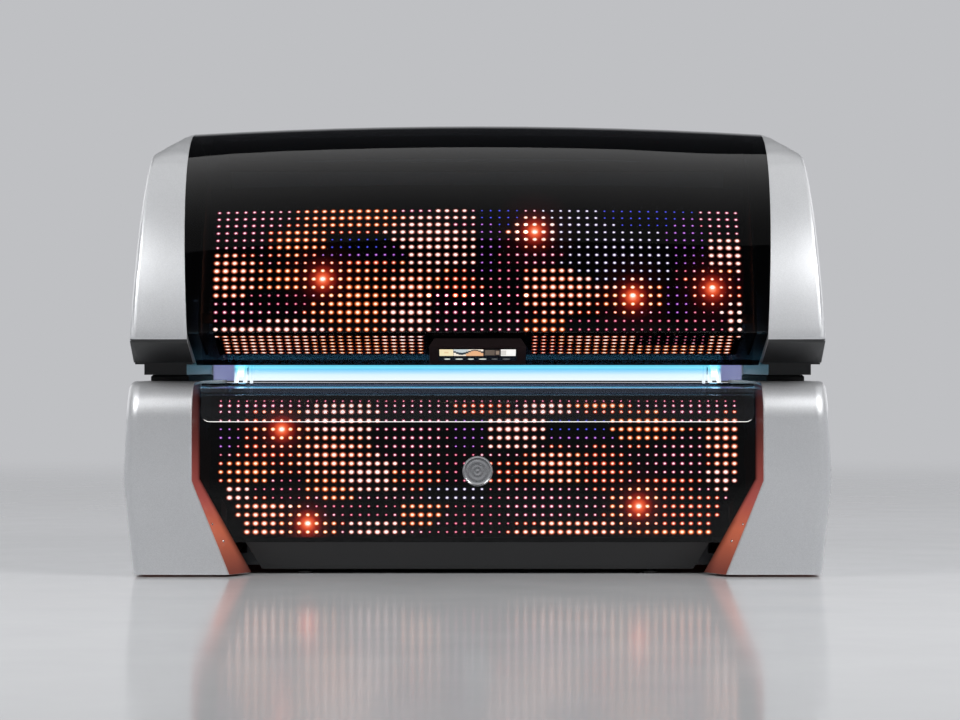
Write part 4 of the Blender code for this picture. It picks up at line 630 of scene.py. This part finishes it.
# %% shield with a painted glow on its rim
SHIELD_HALF = 0.953
SHIELD_BOTTOM = 0.526
SHIELD_CORNER = 0.030
RIM_MM = 2.2
RIM_FADE = (0.019, 0.027)   # how far down a corner the line comes up to full strength
shield, tree, shader = new_finish("clear_cast_acrylic_painted_rim_glow", Base_Color=linear("#f6f7f9"), IOR=1.49,
                                  Transmission_Weight=1.0, Roughness=0.01, Emission_Color=linear("#f2eeec"))
spot = add(tree, "ShaderNodeSeparateXYZ", {0: add(tree, "ShaderNodeTexCoord").outputs["Object"]})
reach = add(tree, "ShaderNodeMath", {0: spot.outputs["X"]}, operation="ABSOLUTE").outputs["Value"]
sideways = add(tree, "ShaderNodeMath", {0: reach, 1: SHIELD_HALF - SHIELD_CORNER}, operation="SUBTRACT")
downwards = add(tree, "ShaderNodeMath", {0: SHIELD_BOTTOM + SHIELD_CORNER, 1: spot.outputs["Z"]}, operation="SUBTRACT")
corner = add(tree, "ShaderNodeCombineXYZ", {"X": sideways.outputs["Value"], "Y": downwards.outputs["Value"]})
outside = add(tree, "ShaderNodeVectorMath", {0: corner.outputs["Vector"], 1: (0.0, 0.0, 0.0)}, operation="MAXIMUM")
far = add(tree, "ShaderNodeVectorMath", {0: outside.outputs["Vector"]}, operation="LENGTH").outputs["Value"]
rim = add(tree, "ShaderNodeMath", {0: far, 1: SHIELD_CORNER - RIM_MM / 1000}, operation="GREATER_THAN")
low = add(tree, "ShaderNodeMapRange", {"Value": downwards.outputs["Value"], "From Min": RIM_FADE[0],
                                       "From Max": RIM_FADE[1]})
line = add(tree, "ShaderNodeMath", {0: rim.outputs["Value"], 1: low.outputs["Result"]}, operation="MULTIPLY")
power = add(tree, "ShaderNodeMapRange", {"Value": line.outputs["Value"], "To Max": 0.7})
tree.links.new(power.outputs["Result"], shader.inputs["Emission Strength"])
dress(shield, "front_shield")
print("shield, rim line", RIM_MM, "mm")

# %% [markdown]
# The lamps are glass tubes coated inside with phosphor, which glows an even blue-white, with aluminium caps.
# The coating thins out towards the caps, where a real tube darkens. A ramp along the tube's length draws caps,
# darkened ends and glow in one finish.

# %% phosphor tubes
TUBE_HALF = 0.906
CAP_MM = 35.0
DARK_MM = 60.0              # length over which a tube's end darkens
TUBE_GLOW = 0.16
tube, tree, shader = new_finish("phosphor_coated_tube", Roughness=0.25, IOR=1.5, Emission_Color=linear("#b9d2ff"))
place = add(tree, "ShaderNodeTexCoord").outputs["Object"]
along = add(tree, "ShaderNodeSeparateXYZ", {0: place}).outputs["X"]
reach = add(tree, "ShaderNodeMath", {0: along}, operation="ABSOLUTE").outputs["Value"]
cap_from = TUBE_HALF - CAP_MM / 1000
cap = add(tree, "ShaderNodeMath", {0: reach, 1: cap_from}, operation="GREATER_THAN").outputs["Value"]
glow = add(tree, "ShaderNodeMapRange", {"Value": reach, "From Min": cap_from, "From Max": cap_from - DARK_MM / 1000,
                                        "To Max": TUBE_GLOW}, interpolation_type="SMOOTHSTEP")
glass = add(tree, "ShaderNodeMix", {0: cap, 6: linear("#f3f4f7"), 7: linear("#b8babd")}, data_type="RGBA")
tree.links.new(glass.outputs[2], shader.inputs["Base Color"])
tree.links.new(cap, shader.inputs["Metallic"])
tree.links.new(glow.outputs["Result"], shader.inputs["Emission Strength"])
tubes = [f"{place}_lamp_{number}" for place in ("bench", "canopy") for number in range(1, 10)]
for name in tubes:
    skin(name, [tube])
print(len(tubes), "tubes, caps", CAP_MM, "mm")

# %% [markdown]
# Behind the tubes lies a fluted reflector, folded from rolled bright aluminium. Rolling leaves fine lines along the
# sheet and a soft mirror. The lines are about 0.1 mm on the real sheet; 3 mm ones are drawn so that they show.

# %% rolled aluminium
ROLL_MM = 3.0
mirror, tree, shader = new_finish("rolled_bright_aluminium", Base_Color=linear("#e6e7e8"), Metallic=1.0)
place = add(tree, "ShaderNodeTexCoord").outputs["Object"]
drawn = add(tree, "ShaderNodeMapping", {"Vector": place, "Scale": (0.02, 1.0, 1.0)})
lines = add(tree, "ShaderNodeTexNoise", {"Vector": drawn.outputs["Vector"], "Scale": per_metre(ROLL_MM)})
vary(tree, shader, "Roughness", lines.outputs["Fac"], 0.12, 0.34)
for name in ("bench_reflector", "canopy_reflector"):
    skin(name, [mirror])
print("rolled aluminium on both reflectors")

# %% [markdown]
# Feet and rests are vulcanised rubber: deep black, very matt, with a dusty bloom that settles in the pores.

# %% rubber
PORE_MM = 5.0
rubber, tree, shader = new_finish("vulcanised_rubber", IOR=1.52, Specular_IOR_Level=0.3)
place = add(tree, "ShaderNodeTexCoord").outputs["Object"]
bloom = add(tree, "ShaderNodeTexNoise", {"Vector": place, "Scale": per_metre(PORE_MM), "Detail": 6.0})
mottle(tree, shader, bloom.outputs["Fac"], "#0e0e0f", "#1e1e1f")
vary(tree, shader, "Roughness", bloom.outputs["Fac"], 0.7, 0.9)
feet = [f"foot_{end}_{side}" for end in ("front", "rear") for side in ("left", "right")]
dress(rubber, "rest_left", "rest_right", *feet)
print("rubber on", len(feet) + 2, "pieces")

# %% [markdown]
# Hinge pins, gas rods and the round disc on the front are turned steel. A lathe leaves fine rings, which catch the
# light as two bright wedges. Rings about the disc's axis come from the distance to that axis.

# %% turned steel
DISC_MIDDLE = (0.0, -0.505, 0.357)
TURNED_MM = 2.4
ROD_FACING = -0.1           # front faces of the rods, lit like the liner
turned, tree, shader = new_finish("turned_satin_steel", Base_Color=linear("#c9cacc"), Metallic=1.0)
place = add(tree, "ShaderNodeTexCoord").outputs["Object"]
film = add(tree, "ShaderNodeTexNoise", {"Vector": place, "Scale": per_metre(9), "Detail": 3.0})
vary(tree, shader, "Roughness", film.outputs["Fac"], 0.14, 0.3)
for side in ("left", "right"):
    skin("hinge_pin_" + side, [turned])
    # The rods' front faces get the liner's white finish with painted tube light.
    skin("gas_rod_" + side, [turned, liner], lambda face: 1 if face.normal.y < ROD_FACING else 0)

disc, tree, shader = new_finish("turned_steel_disc", Base_Color=linear("#c4c5c7"), Metallic=1.0, Roughness=0.24)
place = add(tree, "ShaderNodeTexCoord").outputs["Object"]
centred = add(tree, "ShaderNodeVectorMath", {0: place, 1: DISC_MIDDLE}, operation="SUBTRACT").outputs["Vector"]
rings = add(tree, "ShaderNodeTexWave", {"Vector": centred, "Scale": per_metre(TURNED_MM) / 20, "Distortion": 0.4,
                                        "Detail": 2.0}, wave_type="RINGS", rings_direction="Y")
bump = add(tree, "ShaderNodeBump", {"Height": rings.outputs["Fac"], "Strength": 0.5, "Distance": 0.0006})
tree.links.new(bump.outputs["Normal"], shader.inputs["Normal"])
skin("front_disc", [disc])
print("turned steel, rings", TURNED_MM, "mm")

# %% [markdown]
# The lamp boards behind the smoked fronts are black solder mask. A few lamps run so bright that they flood the board
# and the acrylic around them: peach in the middle, then orange, then a deep red that reaches over the neighbours.
# Each is one soft round glow of painted lamplight on the front of the board, placed where the photograph shows it.
# Every front sheet lets only a tenth of the light through, so each glow is written about twelve times as strong as it
# shows.

# %% lamp boards
THROUGH = 12.0
CANOPY_FLARES = ((-0.525, 1.013), (0.195, 1.178), (0.525, 0.953), (0.795, 0.980))      # x, z in metres
BASE_FLARES = ((-0.675, 0.501), (-0.585, 0.176), (0.555, 0.236))
FLARE_REACH = 0.15
FLARE_STOPS = ((0.0, "#000000"), (0.45, "#100102"), (0.66, "#3a0606"), (0.80, "#8c1f12"), (0.90, "#e4552e"),
               (1.0, "#ffb48c"))


def lamp_board(name, flares):
    """Solder mask with one painted glow of lamplight for each lamp that floods the board."""
    finish, tree, shader = new_finish(name, Roughness=0.55, IOR=1.5, Emission_Strength=THROUGH)
    place = add(tree, "ShaderNodeTexCoord").outputs["Object"]
    mask = add(tree, "ShaderNodeTexNoise", {"Vector": place, "Scale": per_metre(12), "Detail": 2.0})
    mottle(tree, shader, mask.outputs["Fac"], "#040405", "#08080a")
    flat = add(tree, "ShaderNodeVectorMath", {0: place, 1: (1.0, 0.0, 1.0)}, operation="MULTIPLY").outputs["Vector"]
    nearest = 0.0
    for x, z in flares:
        gap = add(tree, "ShaderNodeVectorMath", {0: flat, 1: (x, 0.0, z)}, operation="DISTANCE").outputs["Value"]
        near = add(tree, "ShaderNodeMapRange", {"Value": gap, "From Min": FLARE_REACH, "From Max": 0.0})
        nearest = add(tree, "ShaderNodeMath", {0: near.outputs["Result"], 1: nearest},
                      operation="MAXIMUM").outputs["Value"]
    facing = add(tree, "ShaderNodeSeparateXYZ", {0: add(tree, "ShaderNodeTexCoord").outputs["Normal"]}).outputs["Y"]
    front = add(tree, "ShaderNodeMath", {0: facing, 1: 0.0}, operation="LESS_THAN").outputs["Value"]
    lit = add(tree, "ShaderNodeMath", {0: nearest, 1: front}, operation="MULTIPLY").outputs["Value"]
    glow = add(tree, "ShaderNodeValToRGB", {"Fac": lit})
    colour_stops(glow, FLARE_STOPS)
    tree.links.new(glow.outputs["Color"], shader.inputs["Emission Color"])
    finish.cycles.emission_sampling = "NONE"
    return finish


dress(lamp_board("black_solder_mask_canopy", CANOPY_FLARES), "canopy_lamp_board")
dress(lamp_board("black_solder_mask_base", BASE_FLARES), "base_lamp_board")
print(len(CANOPY_FLARES) + len(BASE_FLARES), "flares on two boards")

# %% [markdown]
# The small lamps themselves are light diodes under low round lenses, about 2,200 of them in rows and columns 30 mm
# apart. Each shows a pale hot middle, a coloured rim, a weaker glow and a faint halo on the board. A disc and three
# rings of faces per lamp give that, with one constant glow per ring, so that the colours stay in an exported model.
# A lamp that floods its board needs no halo of its own, as the board already glows there.

# %% colours of the small lamps
LAMP_KINDS = {                      # middle, rim, glow, halo, radius in mm
    "white": ("#fffaf6", "#f4c2b0", "#8e4638", "#341513", 8.6),
    "peach": ("#fff8ee", "#f6a47c", "#a03e20", "#3a120a", 8.8),
    "amber": ("#fff1da", "#f48a42", "#a23a0e", "#3c1006", 8.3),
    "orange": ("#ffe9d6", "#f0622e", "#9c260e", "#380a06", 7.2),
    "flare": ("#fffaf2", "#ffc094", "#f4703c", "#7a1a0e", 10.6),
    "rose": ("#ffeef0", "#d05e74", "#661a32", "#260712", 6.0),
    "crimson": ("#f8a8b6", "#b02a4e", "#520c24", "#1e040d", 4.9),
    "magenta": ("#d89ae4", "#7c2c96", "#320c46", "#10051a", 4.5),
    "blue": ("#6468e0", "#2628a0", "#0e0f48", "#06061c", 3.9),
    "ice": ("#ffffff", "#b6aac0", "#3c2e48", "#130e1c", 5.6),
}
RINGS = ("middle", "rim", "glow", "halo")
FLARE_RINGS = 2
lamp_finishes = []
for kind, colours in LAMP_KINDS.items():
    for ring, colour in zip(RINGS, colours):
        finish, tree, shader = new_finish(f"diode_lens_{kind}_{ring}", Base_Color=linear("#101012"), Roughness=0.4,
                                          Emission_Color=linear(colour), Emission_Strength=THROUGH)
        finish.cycles.emission_sampling = "NONE"
        lamp_finishes.append(finish)
print(len(lamp_finishes), "lamp glows in", len(LAMP_KINDS), "kinds")

# %% [markdown]
# The lamps play a slow show of drifting colour clouds. To choose each lamp's colour, a handful of clouds is listed by
# their middle (column, row), their reach and their kind; a lamp takes the kind of the cloud that is strongest there,
# stirred by a little noise so that no cloud has a drawn edge. Where two clouds are nearly as strong, the lamp takes
# the colour between them. Rows count from the top.

# %% clouds of colour
CANOPY_CLOUDS = (
    (4, 3, 5.5, 3.2, "rose"), (16, 2, 5.5, 1.5, "amber"), (9.5, 4.8, 3.4, 1.9, "amber"),
    (2, 9.6, 3.4, 2.8, "peach"), (16.6, 5.6, 3, 1.1, "blue"), (18, 6.8, 4.5, 0.9, "magenta"),
    (17, 8, 4, 0.6, "orange"), (13, 10, 3.0, 1.8, "amber"), (9, 10, 2.6, 1.5, "amber"),
    (8.4, 12.4, 3.2, 1.1, "crimson"), (3.5, 14, 4.2, 1.4, "rose"), (6, 16, 7, 1, "white"),
    (16.5, 12.6, 4, 4.2, "amber"), (25.5, 4.6, 4.2, 4, "white"), (23.4, 0.8, 1.9, 0.9, "rose"),
    (28.4, 3, 2, 0.9, "rose"), (23, 10.8, 2.8, 1.8, "peach"), (28.2, 10.8, 2.4, 1.7, "orange"),
    (23, 14, 3.2, 2.2, "white"), (28, 14, 3.4, 2, "rose"), (31.8, 5.5, 1.4, 4, "magenta"),
    (33, 1.6, 1.8, 1.5, "blue"), (37, 4, 3.0, 1.8, "peach"), (42, 3, 4, 2.4, "ice"), (46, 6.6, 5.5, 3, "ice"),
    (49, 1.6, 5.4, 1.4, "blue"), (33.4, 9.5, 1.8, 4.4, "crimson"), (37, 7.2, 3, 1.2, "rose"),
    (39.6, 11.2, 4.4, 2.6, "peach"), (38.2, 15.6, 2.8, 1.1, "amber"), (34.2, 14.6, 2, 1.6, "rose"),
    (45, 15.5, 5, 1, "crimson"), (48, 12, 3.0, 1.8, "amber"), (44.4, 9, 3.4, 2.2, "ice"),
    (54, 4.4, 2, 3.6, "magenta"), (53, 12.6, 1.6, 2.2, "magenta"), (58.5, 2.2, 2.6, 2, "rose"),
    (59, 6.6, 2.3, 2, "white"), (57, 11, 3.0, 1.8, "orange"), (59.7, 14.6, 1.6, 1.7, "white"),
    (53, 15.2, 5, 1.2, "crimson"), (50.5, 7.4, 2, 2.6, "ice"),
)
BASE_CLOUDS = (
    (5, 1, 6, 0.9, "rose"), (7, 2.6, 3.6, 1.1, "orange"), (1.4, 5.3, 1.8, 1.2, "magenta"),
    (8, 4, 3.0, 1.8, "amber"), (6.4, 6.4, 3.6, 1.5, "orange"), (14.6, 3, 4.4, 2.2, "white"),
    (14, 7, 3.8, 2.8, "peach"), (4.4, 8.8, 3, 1.5, "amber"), (8.2, 10.9, 2.2, 1, "crimson"),
    (2.2, 11.6, 1.5, 1.2, "white"), (6, 13.4, 3.4, 1.1, "peach"), (13.6, 11, 2.4, 1.5, "amber"),
    (13, 13, 1.8, 1, "crimson"), (17.4, 13.6, 3.4, 0.9, "crimson"), (11, 15, 3.0, 1.8, "amber"),
    (5.8, 15.6, 3, 1.2, "peach"), (18.6, 15.7, 2.7, 0.9, "white"), (17.6, 9, 3.6, 2.1, "white"),
    (23, 5, 4, 3, "rose"), (23.6, 9.4, 2.7, 1.5, "orange"), (29.2, 4.3, 2, 1.6, "magenta"),
    (28.4, 8.4, 2, 2, "crimson"), (28, 11.6, 3, 0.9, "ice"), (24, 14, 2.6, 1.3, "amber"),
    (29.4, 15, 3.4, 1.6, "crimson"), (31.2, 1.4, 3.4, 1, "orange"), (34.8, 4, 3.2, 2, "white"),
    (38.2, 1.4, 2.4, 1, "white"), (42, 3.5, 3.2, 1, "blue"), (42.4, 5, 3.4, 0.6, "magenta"),
    (44.6, 1, 2.8, 0.8, "amber"), (50, 3.8, 3.6, 1.6, "amber"), (55.5, 1.8, 3.4, 1.2, "rose"),
    (53.6, 7.2, 3, 2.4, "rose"), (59, 5.6, 2.2, 3.2, "peach"), (58.6, 9.6, 1.5, 1.3, "white"),
    (39.6, 8.4, 3.6, 1.6, "peach"), (34, 9.2, 2.1, 1.6, "orange"), (44.8, 8.6, 2.8, 2.2, "orange"),
    (38, 12.8, 6, 1.8, "rose"), (32, 14, 1.6, 2.2, "crimson"), (41, 15.7, 5.5, 1, "peach"),
    (52.6, 10.2, 3.4, 1, "orange"), (54.5, 13.6, 4, 2.2, "orange"), (49, 13, 3.0, 1.8, "amber"),
    (49.6, 11.5, 2, 0.7, "amber"), (54, 15.8, 5, 1, "amber"),
)
CHIN_CLOUDS = ((6, 2, 12, 5, "peach"), (18, 3, 8, 4, "amber"), (22, 1, 4, 3, "white"), (38, 2, 4, 4, "orange"),
               (44, 1, 6, 2, "peach"), (44, 5, 9, 3, "amber"), (52, 1, 5, 1.6, "crimson"), (53, 4, 7, 2, "amber"),
               (59, 3, 3, 4, "peach"))
STIR = 0.22
CALM = 0.16                 # strength of the rose that shows where no cloud reaches
SPECTRUM = ("blue", "magenta", "crimson", "rose", "orange", "amber", "peach", "white", "ice")
BLEND_FROM = 0.66
BLEND_STEPS = 3
STIR_CELLS = 3.0


def lamp_kind(clouds, column, row, seed):
    """Kind of the strongest cloud at a lamp, and how deep inside it the lamp is, from 0 to 1."""
    felt = {"rose": CALM}
    for number, (mid_column, mid_row, wide, tall, kind) in enumerate(clouds):
        far = ((column - mid_column) / wide) ** 2 + ((row - mid_row) / tall) ** 2
        stir = noise.noise(Vector((column / STIR_CELLS, row / STIR_CELLS, seed + 7.3 * number)))
        felt[kind] = max(felt.get(kind, 0.0), exp(-far) * (1.0 + STIR * stir))
    kind, other = sorted(felt, key=felt.get, reverse=True)[:2]
    strength = felt[kind]
    if kind in SPECTRUM and other in SPECTRUM and felt[other] > BLEND_FROM * strength:
        first, second = SPECTRUM.index(kind), SPECTRUM.index(other)
        if abs(first - second) <= BLEND_STEPS:
            kind = SPECTRUM[(first + second) // 2]
    return kind, strength


print("clouds:", len(CANOPY_CLOUDS), "on the canopy,", len(BASE_CLOUDS), "on the base")

# %% [markdown]
# Each lens is laid onto its board by casting a short ray at the board for every point of its rings, so the rings
# follow the board's bends. The gap between board and acrylic is only a few tenths of a millimetre, and the lenses
# stay flatter than that.

# %% lay the lenses on the boards
RING_SHARES = (0.57, 0.86, 1.14, 1.40)    # outer radius of each ring over the lens radius
RING_RISE = (0.00022, 0.00018, 0.00013, 0.00007)
LENS_SIDES = 10
LENS_WIDE = 1.2              # a lens is a low oval, wider than it is tall
LENS_TALL = 0.95
CAST = 0.05
bpy.context.view_layer.update()


def lay_lens(mesh, board, middle, outward, kind, size, rings, wide=LENS_WIDE, tall=LENS_TALL):
    """Adds a lens to a mesh, a disc and its rings, as far as the board carries them; 1 if it does."""
    across = Vector((1.0, 0.0, 0.0))
    up = outward.cross(across).normalized()
    loops = []
    for share, rise in zip((0.0,) + RING_SHARES[:rings], (RING_RISE[0],) + RING_RISE[:rings]):
        loop = []
        for step in range(LENS_SIDES if share else 1):
            turn = 2 * pi * step / LENS_SIDES
            aim = middle + (across * cos(turn) * wide + up * sin(turn) * tall) * size * share
            found, spot, normal, _ = board.ray_cast(aim + outward * CAST, -outward)
            if found:
                loop.append(spot + normal * rise)
        if len(loop) < (LENS_SIDES if share else 1):
            break
        loops.append(loop)
    if len(loops) < 3:
        return 0
    inner = [mesh.verts.new(loops[0][0])]
    for number, loop in enumerate(loops[1:]):
        outer = [mesh.verts.new(spot) for spot in loop]
        for step in range(LENS_SIDES):
            after = (step + 1) % LENS_SIDES
            corners = inner if number == 0 else [inner[after], inner[step]]
            face = mesh.faces.new(corners + [outer[step], outer[after]])
            face.material_index = RINGS_PER_KIND[kind] + number
        inner = outer
    return 1


RINGS_PER_KIND = {kind: len(RINGS) * number for number, kind in enumerate(LAMP_KINDS)}
print("lens rises", RING_RISE[0] * 1000, "mm at most")

# %% [markdown]
# On the base the lamps stand in seventeen rows behind the flat face and the rounded top, where the first row is dim;
# towards the floor the panel narrows, and the outermost lamps drop out.

# %% lamps of the base
PITCH = 0.030
COLUMNS = 60
BASE_ROWS = [0.597, 0.5816, 0.561] + [0.5306 - 0.0295 * k for k in range(14)]
KNEE = 0.33
PANEL_HALF = 0.958
PANEL_SPLAY = 0.553
LAMP_MARGIN = 0.058
FLARE_NEAR = 0.085
BOARD_Y = -0.50
FAINT_SIZE = 0.70           # share of its radius that a lamp at the edge of a cloud shows
STRONG_GAIN = 0.32


def column_x(column):
    return (column - (COLUMNS - 1) / 2) * PITCH


def lamp_size(kind, strength):
    return LAMP_KINDS[kind][-1] / 1000 * (FAINT_SIZE + STRONG_GAIN * min(strength, 1.0))


def flare_lamp(spot, flares, kind):
    """Kind and number of rings of a lamp: near a flare it shows fewer rings, because the board itself glows there."""
    near = min(hypot(spot.x - x, spot.z - z) for x, z in flares)
    return "flare" if near < PITCH / 2 else kind, FLARE_RINGS if near < FLARE_NEAR else len(RINGS)


mesh = bmesh.new()
count = 0
board = nodes["base_lamp_board"]
for row, z in enumerate(BASE_ROWS):
    half = PANEL_HALF - PANEL_SPLAY * max(KNEE - z, 0.0) - LAMP_MARGIN
    for column in range(COLUMNS):
        x = column_x(column)
        if abs(x) <= half:
            kind, strength = lamp_kind(BASE_CLOUDS, column + 1, row, 0.0) if row else ("crimson", 0.0)
            spot = Vector((x, BOARD_Y, z))
            kind, rings = flare_lamp(spot, BASE_FLARES, kind)
            count += lay_lens(mesh, board, spot, Vector((0, -1, 0)), kind, lamp_size(kind, strength), rings)
finish_piece("base_small_lamps", mesh, lamp_finishes, "base", "circuit_board")
print(count, "small lamps on the base")

# %% [markdown]
# On the canopy the rows follow the curved front from the nose upwards, sixteen of them, and six more run along the
# chin under the nose, beside the control pod.

# %% lamps of the canopy
ARC_R = 0.835               # radius of the front, about the axis that the end covers share
CANOPY_ROWS = 16
FIRST_ROW = 7.85
ROW_STEP = 2.016
NOSE = Vector((0.0, -0.708, 0.8296))
CHIN_ALONG = Vector((0.0, 0.934, -0.357))
CHIN_OUT = Vector((0.0, -0.357, -0.934))
CHIN_ROWS = 6
CHIN_FROM = 0.040
CHIN_WIDE = 1.2             # lenses on the chin are flatter dashes
CHIN_TALL = 0.76
POD_CLEAR = 0.185

mesh = bmesh.new()
count = 0
board = nodes["canopy_lamp_board"]
for row in range(1, CANOPY_ROWS + 1):
    tilt = radians(FIRST_ROW + ROW_STEP * (CANOPY_ROWS - row))
    outward = Vector((0.0, -cos(tilt), sin(tilt)))
    for column in range(COLUMNS):
        kind, strength = lamp_kind(CANOPY_CLOUDS, column + 1, row, 3.0)
        spot = Vector((column_x(column), AXIS_Y, AXIS_Z)) + outward * ARC_R
        kind, rings = flare_lamp(spot, CANOPY_FLARES, kind)
        count += lay_lens(mesh, board, spot, outward, kind, lamp_size(kind, strength), rings)
for row in range(CHIN_ROWS):
    for column in range(COLUMNS):
        x = column_x(column)
        if abs(x) > POD_CLEAR:
            kind, strength = lamp_kind(CHIN_CLOUDS, column + 1, row, 5.0)
            spot = Vector((x, 0.0, 0.0)) + NOSE + CHIN_ALONG * (CHIN_FROM + PITCH * row)
            size = lamp_size(kind, strength)
            count += lay_lens(mesh, board, spot, CHIN_OUT, kind, size, len(RINGS), CHIN_WIDE, CHIN_TALL)
finish_piece("canopy_small_lamps", mesh, lamp_finishes, "canopy", "circuit_board")
print(count, "small lamps on the canopy")

# %% [markdown]
# The control pod is moulded in black plastic and sprayed with a matt soft-touch lacquer, which mirrors next to nothing.
# Its base colour is a dark warm brown all over: painted light from the lamps of the nose above it.

# %% soft-touch lacquer
SOFT_MM = 3.0
POD_RADIUS = 0.0015
soft_touch, tree, shader = new_finish("soft_touch_lacquer", IOR=1.5, Specular_IOR_Level=0.12)
place = add(tree, "ShaderNodeTexCoord").outputs["Object"]
nap = add(tree, "ShaderNodeTexNoise", {"Vector": place, "Scale": per_metre(SOFT_MM), "Detail": 2.0})
# The warm brown tones are painted lamplight from the nose above.
mottle(tree, shader, nap.outputs["Fac"], "#160c0c", "#221314")
vary(tree, shader, "Roughness", nap.outputs["Fac"], 0.5, 0.64)
skin("control_pod", [soft_touch], edge_radius=POD_RADIUS)
print("soft-touch lacquer on the pod, nap", SOFT_MM, "mm")

# %% [markdown]
# The touch screen under the chin shows a start page: a cream tile, a picture of soft waves, a dark tile with a list
# and a white tile, with colours and lines only and no lettering. First the fields are listed: each has its place across
# the screen, its share of the picture's length, and its colour. The waves are twelve upright strips of three fields.

# %% fields of the picture
WAVES = 12                  # upright strips that draw the waves
WAVE_FROM = -0.082
WAVE_WIDE = 0.1015
SCREEN_COLOURS = ("#f6e6bc", "#e9cda0", "#26323a", "#c8d2d4", "#e9b184", "#fbeedd", "#14110f", "#8a7a6c", "#fbfaf6",
                  "#d9d6d0", "#d6dad2", "#5c5f60")
TILES = []                          # left, right, near share, far share, colour number
TILES.append((-0.130, -0.083, 0.0, 1.0, 0))
TILES.append((-0.114, -0.099, 0.36, 0.60, 1))
for k in range(WAVES):
    left = WAVE_FROM + WAVE_WIDE * k / WAVES
    right = left + WAVE_WIDE / WAVES
    wave = 0.5 + 0.42 * sin(2.2 * pi * k / WAVES)
    TILES.append((left, right, 0.0, wave * 0.55, 3 if k < 6 else 5))
    TILES.append((left, right, wave * 0.55, wave * 0.8 + 0.12, 2))
    TILES.append((left, right, wave * 0.8 + 0.12, 1.0, 5 if k < 5 else 4))
TILES.append((0.0205, 0.0780, 0.0, 1.0, 6))
for k in range(5):
    TILES.append((0.025, 0.058, 0.14 + 0.16 * k, 0.22 + 0.16 * k, 7))
TILES.append((0.062, 0.074, 0.2, 0.8, 7))
TILES.append((0.0790, 0.130, 0.0, 1.0, 8))
TILES.append((0.0790, 0.098, 0.16, 0.9, 9))
print(len(TILES), "fields")

# %% [markdown]
# Each field becomes a thin sheet of glow just in front of the screen's glass, a hair over the one before it, so that a
# later field covers an earlier one. Below the picture lie six oval touch marks.

# %% picture on the screen
SCREEN_FROM = 0.0875        # along the chin, where the picture begins
TILE_LONG = 0.061
MARK_FROM = 0.173
MARK_LONG = 0.012
MARKS = 6
GLASS_OUT = 0.0247
LAYER = 0.000004            # each field lies this much over the one before


def glow(hex_colour, number):
    return new_finish(f"display_glow_{number}", Base_Color=linear("#050505"), Roughness=0.4,
                      Emission_Color=linear(hex_colour), Emission_Strength=1.0)[0]


def chin_spot(x, along, out):
    return NOSE + Vector((x, 0.0, 0.0)) + CHIN_ALONG * along + CHIN_OUT * out


mesh = bmesh.new()
for layer, (left, right, near, far, colour) in enumerate(TILES):
    out = GLASS_OUT + LAYER * layer
    ends = [SCREEN_FROM + TILE_LONG * share for share in (near, far)]
    spots = [(left, ends[0]), (left, ends[1]), (right, ends[1]), (right, ends[0])]
    face = mesh.faces.new([mesh.verts.new(chin_spot(x, along, out)) for x, along in spots])
    face.material_index = colour
for k in range(MARKS):
    middle = -0.104 + 0.0405 * k
    half = 0.011 + 0.003 * (k % 2)
    turns = [2 * pi * step / 8 for step in range(8)]
    rim = [(middle - half * cos(t), MARK_FROM + MARK_LONG * (0.5 + 0.5 * sin(t))) for t in turns]
    face = mesh.faces.new([mesh.verts.new(chin_spot(x, along, GLASS_OUT)) for x, along in rim])
    face.material_index = 10 if k < 4 else 11
glows = [glow(colour, number) for number, colour in enumerate(SCREEN_COLOURS)]
finish_piece("screen_picture", mesh, glows, "canopy", "black_gloss_acrylic")
print(len(TILES) + MARKS, "glowing fields on the screen")

# %% [markdown]
# Two socket screws hold each base cover, low on the wall beside the panel. A turned button head with a hexagonal
# socket is a small ring of faces: rim, dome, and a socket that goes inwards.

# %% screws on the covers' walls
SCREW_PLACES = ((-0.610, 0.180), (-0.590, 0.121))       # y, z in metres
HEAD_RADIUS = 0.0048
HEAD_SIDES = 24
HEAD_LOOPS = ((1.0, 0.0, 24), (0.96, 0.0012, 24), (0.62, 0.0024, 24), (0.50, 0.0024, 6), (0.46, 0.0008, 6))
CAST_FROM = 0.80
bpy.context.view_layer.update()
mesh = bmesh.new()
count = 0
for side, name in ((-1, "left"), (1, "right")):
    wall = scene.objects["base_cover_" + name + "_skin"]
    for y, z in SCREW_PLACES:
        found, spot, normal, _ = wall.ray_cast(Vector((side * CAST_FROM, y, z)), Vector((side, 0.0, 0.0)))
        if not found:
            continue
        count += 1
        first = normal.orthogonal().normalized()
        second = normal.cross(first)
        loops = []
        for share, rise, sides in HEAD_LOOPS:
            loop = []
            for step in range(HEAD_SIDES):
                turn = 2 * pi * (step - step % (HEAD_SIDES // sides)) / HEAD_SIDES
                radius = HEAD_RADIUS * share
                around = first * cos(turn) * radius + second * sin(turn) * radius
                loop.append(mesh.verts.new(spot + around + normal * rise))
            loops.append(loop)
        for low, high in zip(loops, loops[1:]):
            for step in range(HEAD_SIDES):
                after = (step + 1) % HEAD_SIDES
                mesh.faces.new([low[step], low[after], high[after], high[step]])
        mesh.faces.new(loops[-1])
bmesh.ops.remove_doubles(mesh, verts=mesh.verts, dist=WELD)
finish_piece("cover_screws", mesh, [turned], "base", "satin_metal")
print(count, "screws on the walls")
